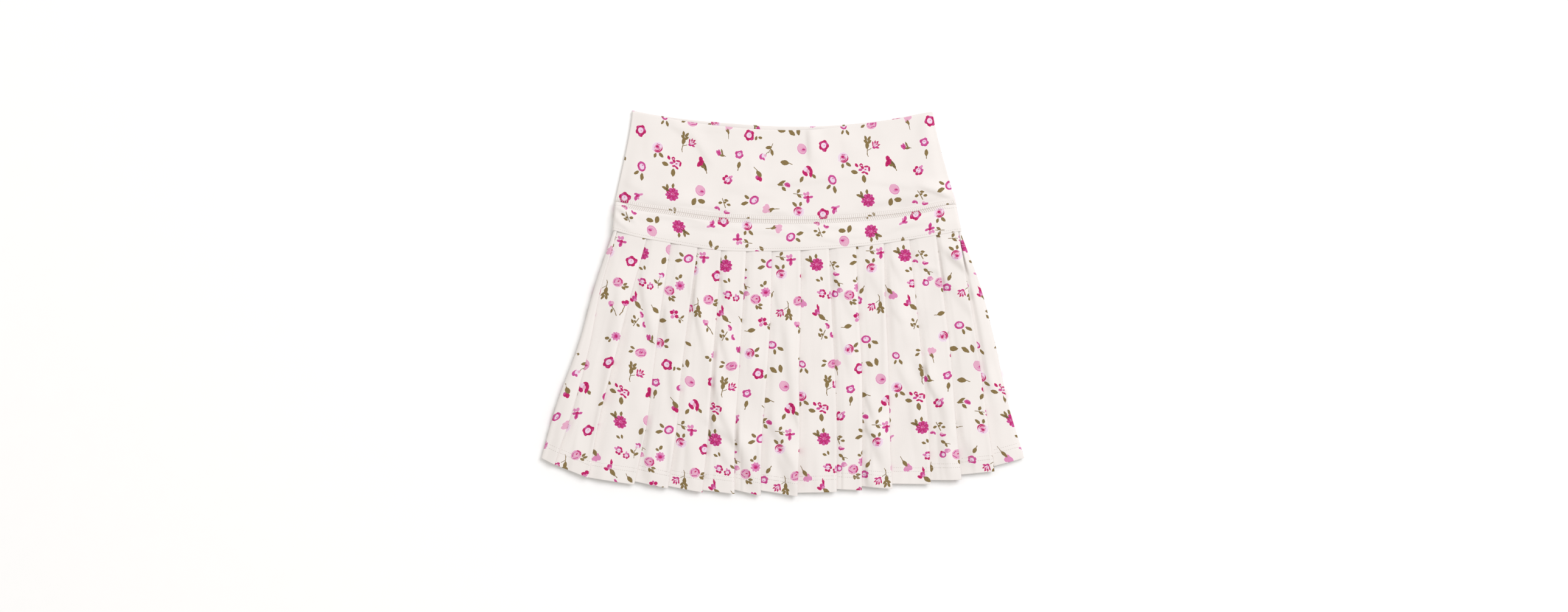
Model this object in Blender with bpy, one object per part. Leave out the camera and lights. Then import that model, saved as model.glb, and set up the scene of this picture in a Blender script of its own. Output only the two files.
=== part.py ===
"""A high-rise pleated skort lying flat on its back, with its waist towards +Y.

Each piece of knit is a thin wall. The back pieces lie on the surface, the shorts lie between
back and front, and the front pieces lie on top. Lengths here are in millimetres, and the
finished meshes are in metres.
"""

import bpy
import numpy as np

MM = 0.001

# Cloth walls and the gaps that keep layers and seams apart
KNIT = 1.0  # one layer of skirt or shorts knit
YOKE_WALL = 1.1  # the yoke, one layer
BAND_WALL = 2.0  # the waistband, knit folded double at its top edge
SEAM = 0.3  # gap at seams and between neighbouring layers
PITCH = KNIT + SEAM  # from one layer of a pleat to the next

# The middle of the finished garment's box, taken off every point
BOX_MIDDLE = (-0.1, 0.5)

# Where the cross curves end at the garment's two sides
#        curve         left x   right x
SIDES = {
    "back_edge": (-161.2, 160.0),
    "front_edge": (-161.2, 160.6),
    "seam": (-179.4, 185.2),
    "yoke_edge": (-182.0, 191.1),
}
BAND_HOLLOW = 1.7  # how far the waistband's sides curve in below its top edge

# Heights of the cross curves at stations from the left side, 0, to the right side, 1
# across  back_edge  front_edge  seam   yoke_edge  back_hem
CROSS = (
    (0.00, 206.9, 206.0, 109.7, 79.1, -162.4),
    (0.06, 203.0, 202.4, 104.6, 72.6, -170.0),
    (0.15, 198.6, 196.8, 100.0, 66.1, -180.5),
    (0.30, 193.8, 190.0, 92.5, 57.4, -191.5),
    (0.45, 190.5, 186.3, 90.0, 56.1, -196.5),
    (0.60, 189.8, 186.3, 89.9, 58.3, -194.5),
    (0.75, 193.0, 192.0, 93.1, 63.2, -187.0),
    (0.88, 198.4, 197.8, 98.9, 70.3, -175.0),
    (0.95, 203.0, 202.3, 104.1, 74.7, -167.5),
    (1.00, 205.6, 204.8, 106.5, 77.8, -162.4),
)
CROSS_COLUMN = {"back_edge": 1, "front_edge": 2, "seam": 3, "yoke_edge": 4, "back_hem": 5}

# Fold edges of the front's knife pleats, left to right, between the garment's two side edges.
# Each fold lies over the pleat to its right. The x columns are at even quarters of its length,
# and the step is how far the next pleat's hem starts above this fold's hem.
# fold      x top   x 1/4   x 1/2   x 3/4   x hem   y top   y hem  step
FRONT_FOLDS = (
    ("left", -180.4, -201.2, -218.2, -240.6, -258.3, 79.1, -164.9, 0.0),
    ("A", -177.0, -194.6, -206.9, -223.1, -243.8, 77.3, -172.1, 0.0),
    ("B", -145.6, -162.9, -179.2, -195.7, -208.0, 69.1, -186.1, 0.3),
    ("C", -119.6, -129.1, -137.4, -145.3, -158.9, 64.5, -193.5, 3.7),
    ("D", -91.0, -99.6, -107.5, -113.2, -122.9, 59.3, -197.4, 2.5),
    ("E", -65.7, -70.3, -75.4, -79.4, -86.1, 57.0, -201.7, 2.5),
    ("F", -39.0, -42.9, -46.8, -50.9, -51.7, 56.1, -203.3, 4.4),
    ("G", -11.7, -12.9, -16.8, -22.0, -23.7, 56.0, -205.2, 5.6),
    ("H", 19.2, 19.3, 17.4, 18.1, 15.6, 57.0, -205.9, 3.7),
    ("I", 49.4, 52.2, 55.6, 57.7, 57.5, 58.9, -201.3, 3.1),
    ("J", 78.3, 80.9, 84.4, 85.1, 84.2, 60.9, -199.4, 4.4),
    ("K", 107.9, 109.9, 112.9, 114.3, 117.0, 63.5, -198.1, 5.6),
    ("L", 135.2, 142.3, 149.1, 155.4, 158.0, 68.1, -192.9, 4.3),
    ("M", 163.8, 171.9, 179.6, 184.5, 191.1, 72.3, -188.3, 5.6),
    ("N", 187.6, 198.5, 208.4, 217.2, 226.2, 77.0, -179.2, 5.6),
    ("right", 189.5, 211.7, 227.3, 240.2, 258.1, 77.8, -164.9, 0.0),
)
FOLD_STATIONS = (0.0, 0.25, 0.5, 0.75, 1.0)
PLEAT_DEPTH = 19.0  # how far a fold covers the next pleat
LEAST_FACE = 5.0  # part of a pleat's face that lies clear of its own return
SIDE_DEPTH = 0.6  # the first pleat's depth, as a share of its face
SIDE_CLEAR = 1.3  # from the side edge to the first pleat's return
FOOT = 0.5  # from a fold's edge to where the next face starts to rise
CREST = 1.0  # from a pleat's return to where its face has risen
FACE_BEND = (0.55, 1.15)  # a face's middle bend: share of its rise still to come, and level
SIDE_TURN = 1.2  # how many levels the first face's side edge comes down by, at the hem
SIDE_CREST = 0.3  # where the first face has risen, as a share of the cloth clear of its return
UNDER, RETURN, FACE = 0.0, 1.0, 2.0  # the levels of a pleat's three layers

# The back has as many pleats, spaced evenly and turned the same way round the body
BACK_PLEATS = 14
BACK_FIRST = 0.020  # place of the first and last fold, as shares of the width
BACK_LAST = 0.960
BACK_STEP = 2.5

# How far pleats reach under the yoke, and the rows of the skirt below the yoke's edge
TUCK = 6.0
SKIRT_DROP = 260.0
FRONT_ROWS = (-TUCK, 1.0, 12.0, 45.0, 85.0, 125.0, 165.0, 190.0, 225.0, SKIRT_DROP)
BACK_ROWS = (-TUCK, 1.0, 12.0, 65.0, 130.0, 195.0, SKIRT_DROP)

# Heights above the surface, by distance below the yoke's lower edge
# below   skirt_back_in  skirt_front_in  meet
SKIRT_HEIGHTS = (
    (-TUCK, 5.0, 7.9, 6.45),
    (1.0, 5.0, 7.9, 6.45),
    (12.0, 3.6, 6.5, 5.05),
    (190.0, 3.6, 6.5, 5.05),
    (SKIRT_DROP, 3.6, 4.5, 4.05),
)
# below   yoke_front underside  meet
YOKE_HEIGHTS = ((-30.0, 6.0, 3.5), (-19.0, 8.6, 4.9), (-8.0, 11.8, 6.45), (0.0, 11.8, 6.45))
BAND_RISE = (2.3, 5.3)  # waistband_front's underside at its top edge and at the seam
BAND_SETTLE = 14.0  # over which the front of the waistband comes down to the back at the sides

# One half of the shorts: distances from their centre line, and the heights of their undersides
# below   outer   inner   back   front
SHORTS = (
    (-28.0, 176.0, 0.0, 1.4, 4.6),
    (-6.5, 177.0, 0.0, 5.3, 6.6),
    (1.0, 178.0, 0.0, 5.3, 6.6),
    (12.0, 180.0, 0.0, 3.9, 5.2),
    (60.0, 186.0, 0.0, 3.9, 5.2),
    (117.0, 187.0, 0.0, 3.9, 5.2),
    (124.0, 186.8, 2.5, 3.9, 5.2),
    (180.0, 183.0, 9.0, 3.9, 5.2),
)
SHORTS_CENTRE = 3.0
SHORTS_COLUMNS = (0.0, 0.12, 0.3, 0.5, 0.7, 0.88, 1.0)

BAND_ROWS = (0.0, 0.2, 0.45, 0.7, 1.0)
PANEL_COLUMNS = 27

PRINTED = (0.91, 0.86, 0.83, 1.0)
PLAIN = (0.88, 0.84, 0.80, 1.0)


def smooth(at, xs, ys):
    """Heights at given places on the smooth curve through a few points (cubic Hermite)."""
    xs = np.asarray(xs, float)
    ys = np.asarray(ys, float)
    slope = np.gradient(ys, xs)
    i = np.clip(np.searchsorted(xs, at, side="right") - 1, 0, len(xs) - 2)
    gap = xs[i + 1] - xs[i]
    s = (at - xs[i]) / gap
    near = (2 * s + 1) * (1 - s) ** 2 * ys[i] + s * (1 - s) ** 2 * gap * slope[i]
    far = s**2 * (3 - 2 * s) * ys[i + 1] + s**2 * (s - 1) * gap * slope[i + 1]
    return near + far


def cross_height(curve, across):
    """Height Y of a cross curve at shares of the way from the left side to the right."""
    table = np.array(CROSS)
    return smooth(across, table[:, 0], table[:, CROSS_COLUMN[curve]])


def yoke_edge_at(x):
    """Height Y of the yoke's lower edge at a place X, held level past its two ends."""
    left, right = SIDES["yoke_edge"]
    return cross_height("yoke_edge", np.clip((x - left) / (right - left), 0.0, 1.0))


def wall(name, path, thickness, colour):
    """A closed wall of even thickness round a grid of centre points.

    path has a row of points for each cross section, from the waist down, and each row runs
    over the cloth from left to right. Half the thickness goes to either side in the row's own
    X and Z, mitred where the row turns.
    """
    along = np.diff(path[:, :, [0, 2]], axis=1)
    along /= np.linalg.norm(along, axis=2, keepdims=True)
    side = np.stack([-along[:, :, 1], along[:, :, 0]], axis=2)
    before = np.concatenate([side[:, :1], side], axis=1)
    after = np.concatenate([side, side[:, -1:]], axis=1)
    out = (before + after) / (1 + np.sum(before * after, axis=2, keepdims=True))
    shift = np.stack([out[:, :, 0], np.zeros(out.shape[:2]), out[:, :, 1]], axis=2)
    outer = path + shift * thickness / 2
    inner = path - shift * thickness / 2
    rows, columns = path.shape[:2]
    a = np.arange(rows * columns).reshape(rows, columns)
    b = a + rows * columns

    def quads(p, q, r, s):
        return np.stack([p, q, r, s], axis=-1).reshape(-1, 4)

    faces = np.concatenate(
        [
            quads(a[:-1, :-1], a[1:, :-1], a[1:, 1:], a[:-1, 1:]),
            quads(b[:-1, :-1], b[:-1, 1:], b[1:, 1:], b[1:, :-1]),
            quads(a[:-1, 0], b[:-1, 0], b[1:, 0], a[1:, 0]),
            quads(a[:-1, -1], a[1:, -1], b[1:, -1], b[:-1, -1]),
            quads(a[0, :-1], a[0, 1:], b[0, 1:], b[0, :-1]),
            quads(a[-1, :-1], b[-1, :-1], b[-1, 1:], a[-1, 1:]),
        ]
    )
    points = np.concatenate([outer.reshape(-1, 3), inner.reshape(-1, 3)])
    points[:, :2] -= BOX_MIDDLE
    mesh = bpy.data.meshes.new(name)
    mesh.from_pydata((points * MM).tolist(), [], faces.tolist())
    mesh.validate()
    material = bpy.data.materials.new(name)
    material.use_nodes = True
    shader = material.node_tree.nodes["Principled BSDF"]
    shader.inputs["Base Color"].default_value = colour
    shader.inputs["Roughness"].default_value = 0.85
    mesh.materials.append(material)
    bpy.context.scene.collection.objects.link(bpy.data.objects.new(name, mesh))


def waistband(name, edge, front):
    """One side of the waistband, from its top edge to half a seam's gap above the seam."""
    across = np.linspace(0.0, 1.0, PANEL_COLUMNS)[None, :]
    down = np.array(BAND_ROWS)[:, None]
    left = SIDES[edge][0] + (SIDES["seam"][0] - SIDES[edge][0]) * down
    right = SIDES[edge][1] + (SIDES["seam"][1] - SIDES[edge][1]) * down
    hollow = BAND_HOLLOW * np.sin(np.pi * down**0.6)
    x = left + hollow + (right - left - 2 * hollow) * across
    top = cross_height(edge, across)
    y = top + (cross_height("seam", across) + SEAM / 2 - top) * down
    z = np.full(x.shape, BAND_WALL / 2)
    if front:
        from_side = np.minimum(x - x[:, :1], x[:, -1:] - x) / BAND_SETTLE
        settled = np.clip(from_side, 0.0, 1.0)
        rise = (BAND_RISE[1] - BAND_RISE[0]) * down
        z = z + BAND_RISE[0] + rise * settled**2 * (3 - 2 * settled)
    wall(name, np.stack([x, y, z], axis=2), BAND_WALL, PRINTED)


def yoke(name, front):
    """One side of the yoke, whose side edges turn in to meet the other side's."""
    below = np.array([row[0] for row in YOKE_HEIGHTS])[:, None]
    share = -below / -YOKE_HEIGHTS[0][0]
    left = SIDES["yoke_edge"][0] + (SIDES["seam"][0] - SIDES["yoke_edge"][0]) * share
    right = SIDES["yoke_edge"][1] + (SIDES["seam"][1] - SIDES["yoke_edge"][1]) * share
    half = YOKE_WALL / 2
    across = np.linspace(0.0, 1.0, PANEL_COLUMNS)[None, :]
    x = left + half + (right - left - YOKE_WALL) * across
    y = cross_height("yoke_edge", across) - below
    y[0] = cross_height("seam", across) - SEAM / 2
    under = np.array([row[1] for row in YOKE_HEIGHTS])[:, None] if front else 0.0
    meet = np.array([row[2] for row in YOKE_HEIGHTS])[:, None]
    z = np.broadcast_to(under + half, x.shape)
    flat = np.stack([x, y, z], axis=2)
    ends = meet + (SEAM / 2 if front else -SEAM / 2)
    first = flat[:, :1].copy()
    first[:, :, 2] = ends
    last = flat[:, -1:].copy()
    last[:, :, 2] = ends
    path = np.concatenate([first, flat, last], axis=1)
    if not front:
        path = turned_over(path)
    wall(name, path, YOKE_WALL, PRINTED)


def turned_over(path):
    """The same rows run the other way, so that the wall's outer side is its underside."""
    return path[:, ::-1]


def fold_lines(folds, rows):
    """Fold edges at distances below the yoke: an array of rows by folds by X and Y."""
    v = np.array(rows) / SKIRT_DROP
    lines = []
    for fold in folds:
        x = smooth(v, FOLD_STATIONS, fold[1:6])
        y = fold[6] + (fold[7] - fold[6]) * v
        lines.append(np.stack([x, y], axis=1))
    return np.stack(lines, axis=1), v


def pleated(folds, rows, inner, meet, out):
    """Centre points of a knife-pleated ribbon.

    Every face starts under the fold on its left, rises clear of that fold's edge, runs over
    its own return to its fold, and turns under. The return runs back below it and turns into
    the next face. out is 1 where levels are counted upwards and -1 where downwards.
    """
    lines, v = fold_lines(folds, rows)
    steps = [fold[8] for fold in folds]
    half = KNIT / 2
    points = []

    def put(xy, level):
        z = inner + out * (half + level * PITCH)
        points.append(np.stack([xy[:, 0], xy[:, 1], z], axis=1))

    def put_end(xy):
        points.append(np.stack([xy[:, 0], xy[:, 1], meet + out * SEAM / 2], axis=1))

    for k in range(1, len(folds)):
        start = lines[:, k - 1] + np.stack([0 * v, steps[k - 1] * np.maximum(v, 0.0)], axis=1)
        fold = lines[:, k]
        width = np.linalg.norm(fold - start, axis=1)

        def at(distance, start=start, fold=fold, width=width):
            """The place on this face at a distance left of its fold."""
            return fold + (start - fold) * (distance / width)[:, None]

        turn = at(half + 0 * v)
        if k == len(folds) - 1:
            put(at(width * 0.5), UNDER)
            put(turn, UNDER)
            put_end(turn)
            break
        if k == 1:
            depth = np.minimum(width * SIDE_DEPTH, width - SIDE_CLEAR)
            edge = at(width - half)
            put_end(edge)
            put(edge, FACE - SIDE_TURN * np.clip(v, 0.0, 1.0))
            put(at(depth + (width - half - depth) * SIDE_CREST), FACE)
        else:
            depth = np.minimum(PLEAT_DEPTH, width - LEAST_FACE)
            clear = width - FOOT - depth - CREST
            put(at(width - FOOT), UNDER)
            put(at(depth + CREST + clear * FACE_BEND[0]), FACE_BEND[1])
            put(at(depth + CREST), FACE)
        put(turn, FACE)
        put(turn, RETURN)
        lift = np.stack([0 * v, steps[k] * np.maximum(v, 0.0)], axis=1)
        put(at(depth - half) + lift, RETURN)
        put(at(depth - half) + lift, UNDER)
    return np.stack(points, axis=1)


def back_folds():
    """The back's fold table, seen from behind: even folds between the front's side edges."""
    left = FRONT_FOLDS[-1]
    right = FRONT_FOLDS[0]
    shares = np.linspace(BACK_FIRST, BACK_LAST, BACK_PLEATS)
    folds = [("left",) + tuple(-x for x in left[1:6]) + left[6:8] + (0.0,)]
    for share in shares:
        x = [-a + (a - b) * share for a, b in zip(left[1:6], right[1:6], strict=True)]
        top = float(cross_height("yoke_edge", 1.0 - share))
        hem = float(cross_height("back_hem", 1.0 - share)) - BACK_STEP
        folds.append(("back", *x, top, hem, BACK_STEP))
    folds.append(("right",) + tuple(-x for x in right[1:6]) + right[6:8] + (0.0,))
    return tuple(folds)


def heights(rows, column):
    table = np.array(SKIRT_HEIGHTS)
    return np.interp(rows, table[:, 0], table[:, column])


def skirt():
    front = pleated(
        FRONT_FOLDS, FRONT_ROWS, heights(FRONT_ROWS, 2), heights(FRONT_ROWS, 3), 1.0
    )
    wall("skirt_front", front, KNIT, PRINTED)
    back = pleated(back_folds(), BACK_ROWS, heights(BACK_ROWS, 1), heights(BACK_ROWS, 3), -1.0)
    back[:, :, 0] *= -1
    wall("skirt_back", back, KNIT, PRINTED)


def shorts(name, side, front):
    """One quarter of the shorts. side is -1 on the left and 1 on the right."""
    table = np.array(SHORTS)
    inner = table[:, 2:3] + SEAM / 2
    reach = inner + (table[:, 1:2] - inner) * np.array(SHORTS_COLUMNS)[None, :]
    x = SHORTS_CENTRE + side * reach
    y = yoke_edge_at(x) - table[:, :1]
    z = np.broadcast_to(table[:, 4 if front else 3][:, None] + KNIT / 2, x.shape)
    path = np.stack([x, y, z], axis=2)
    wall(name, path if side > 0 else turned_over(path), KNIT, PLAIN)


for old in list(bpy.data.objects):
    bpy.data.objects.remove(old, do_unlink=True)

waistband("waistband_back", "back_edge", front=False)
waistband("waistband_front", "front_edge", front=True)
yoke("yoke_back", front=False)
yoke("yoke_front", front=True)
skirt()
shorts("shorts_back_left", -1, front=False)
shorts("shorts_back_right", 1, front=False)
shorts("shorts_front_left", -1, front=True)
shorts("shorts_front_right", 1, front=True)
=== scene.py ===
"""A pleated skort in printed knit, lying flat on its back with its waist towards +Y."""

import math

import bpy
import numpy as np
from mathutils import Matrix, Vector


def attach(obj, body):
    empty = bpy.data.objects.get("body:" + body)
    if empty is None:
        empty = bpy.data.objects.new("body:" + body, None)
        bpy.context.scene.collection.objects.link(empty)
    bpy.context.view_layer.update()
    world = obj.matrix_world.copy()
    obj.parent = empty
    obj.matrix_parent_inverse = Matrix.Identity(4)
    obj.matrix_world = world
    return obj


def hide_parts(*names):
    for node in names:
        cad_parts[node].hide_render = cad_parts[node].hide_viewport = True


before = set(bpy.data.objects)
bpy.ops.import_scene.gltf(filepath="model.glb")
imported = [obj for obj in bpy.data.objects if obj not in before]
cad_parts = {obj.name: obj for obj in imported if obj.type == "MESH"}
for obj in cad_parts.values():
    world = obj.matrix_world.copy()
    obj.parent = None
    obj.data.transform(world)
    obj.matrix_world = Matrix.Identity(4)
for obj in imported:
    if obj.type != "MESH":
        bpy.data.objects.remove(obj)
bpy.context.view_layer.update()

bl_info = {
    "name": "Pleated skort",
    "version": (1, 0, 0),
    "blender": (4, 5, 0),
    "location": "3D View > Sidebar > Skort",
    "description": "Builds a pleated skort laid flat, with its shorts and stitches",
    "category": "Add Mesh",
}

MM = 0.001
BODY = "root"


def table(text):
    """Rows of numbers read from a plain-text table, one row a line."""
    return tuple(tuple(float(n) for n in line.split()) for line in text.strip().splitlines())


# ---------------------------------------------------------------------------------------------
# Sizes, in millimetres, on the surface that the garment lies on
# ---------------------------------------------------------------------------------------------

KNIT = 1.0  # the wall that each layer of skirt or shorts may fill
BAND_WALL = 2.0
YOKE_WALL = 1.1
SEAM = 0.3
PITCH = KNIT + SEAM  # from one layer of a pleat to the next in the solids
BOX_MIDDLE = (-0.1, 0.5)  # taken off every point

# Where the cross curves end at the garment's left and right sides
SIDES = {
    "back_edge": (-161.2, 160.0),
    "front_edge": (-161.2, 160.6),
    "seam": (-179.4, 185.2),
    "yoke_edge": (-182.0, 191.1),
}

# Heights of the cross curves at stations from the left side, 0, to the right side, 1
# across, back_edge, front_edge, seam, yoke_edge, back_hem
CROSS = np.array(table("""
    0.00 206.9 206.0 109.7 79.1 -162.4
    0.06 203.0 202.4 104.6 72.6 -170.0
    0.15 198.6 196.8 100.0 66.1 -180.5
    0.30 193.8 190.0 92.5 57.4 -191.5
    0.45 190.5 186.3 90.0 56.1 -196.5
    0.60 189.8 186.3 89.9 58.3 -194.5
    0.75 193.0 192.0 93.1 63.2 -187.0
    0.88 198.4 197.8 98.9 70.3 -175.0
    0.95 203.0 202.3 104.1 74.7 -167.5
    1.00 205.6 204.8 106.5 77.8 -162.4
"""))
CROSS_COLUMN = {"back_edge": 1, "front_edge": 2, "seam": 3, "yoke_edge": 4, "back_hem": 5}

# Fold edges of the front's knife pleats, left to right, between the garment's two side edges.
# The x columns are at even quarters of a fold's length, and the step is how far the next
# pleat's hem starts above this fold's hem.
# x top, x 1/4, x 1/2, x 3/4, x hem, y top, y hem, step
FRONT_FOLDS = table("""
    -180.4 -201.2 -218.2 -240.6 -258.3 79.1 -164.9 0.0
    -177.0 -194.6 -206.9 -223.1 -243.8 77.3 -172.1 0.0
    -145.6 -162.9 -179.2 -195.7 -208.0 69.1 -186.1 0.3
    -119.6 -129.1 -137.4 -145.3 -158.9 64.5 -193.5 3.7
    -91.0 -99.6 -107.5 -113.2 -122.9 59.3 -197.4 2.5
    -65.7 -70.3 -75.4 -79.4 -86.1 57.0 -201.7 2.5
    -39.0 -42.9 -46.8 -50.9 -51.7 56.1 -203.3 4.4
    -11.7 -12.9 -16.8 -22.0 -23.7 56.0 -205.2 5.6
    19.2 19.3 17.4 18.1 15.6 57.0 -205.9 3.7
    49.4 52.2 55.6 57.7 57.5 58.9 -201.3 3.1
    78.3 80.9 84.4 85.1 84.2 60.9 -199.4 4.4
    107.9 109.9 112.9 114.3 117.0 63.5 -198.1 5.6
    135.2 142.3 149.1 155.4 158.0 68.1 -192.9 4.3
    163.8 171.9 179.6 184.5 191.1 72.3 -188.3 5.6
    187.6 198.5 208.4 217.2 226.2 77.0 -179.2 5.6
    189.5 211.7 227.3 240.2 258.1 77.8 -164.9 0.0
""")
FOLD_STATIONS = (0.0, 0.25, 0.5, 0.75, 1.0)

BACK_PLEATS = 14
BACK_FIRST = 0.020
BACK_LAST = 0.960
BACK_STEP = 2.5

TUCK = 6.0  # how far the skirt runs up under the yoke
SKIRT_DROP = 260.0
HEM_GAP = 4.0  # between the two rows of hem stitches

# Heights above the surface, by distance below the yoke's lower edge
# below, skirt_back underside, skirt_front underside, where the two meet
SKIRT_HEIGHTS = (
    (-TUCK, 5.0, 6.9, 6.45),
    (1.0, 5.0, 6.9, 6.45),
    (12.0, 3.6, 6.5, 5.05),
    (190.0, 3.6, 6.5, 5.05),
    (SKIRT_DROP, 3.6, 4.5, 4.05),
)
# below, yoke_front underside, where the two meet
YOKE_HEIGHTS = ((-30.0, 7.5, 3.5), (-18.0, 9.2, 4.9), (-7.0, 10.5, 6.45), (0.0, 10.6, 6.45))

# One half of the shorts: distances from their centre line, and the heights of their undersides
# below, outer, inner, back, front
SHORTS = table("""
    -28.0 176.0 0.0 1.4 4.6
    -6.5 177.0 0.0 5.3 6.6
    1.0 178.0 0.0 5.3 6.6
    12.0 180.0 0.0 3.9 5.2
    60.0 186.0 0.0 3.9 5.2
    117.0 187.0 0.0 3.9 5.2
    124.0 186.8 2.5 3.9 5.2
    180.0 183.0 9.0 3.9 5.2
""")
SHORTS_CENTRE = 3.0
SHORTS_HALF = 0.4  # half the thickness of their knit

# ---------------------------------------------------------------------------------------------
# The print: small flowers and leaves. Each motif is painted dab by dab, in order. A dab is its
# ink and form, then x, y, half length, half width and turn in degrees, in millimetres from the
# motif's own middle, x to the right and y up. Commas part dabs of one ink and form, and
# semicolons part the groups.
# ---------------------------------------------------------------------------------------------

INKS = {
    "magenta": (183, 12, 96),
    "deep": (156, 10, 78),
    "rose": (188, 44, 120),
    "orchid": (194, 74, 144),
    "light": (212, 134, 180),
    "pink": (222, 168, 194),
    "white": (228, 208, 226),
    "olive": (128, 108, 66),
    "dark olive": (104, 86, 51),
}

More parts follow.
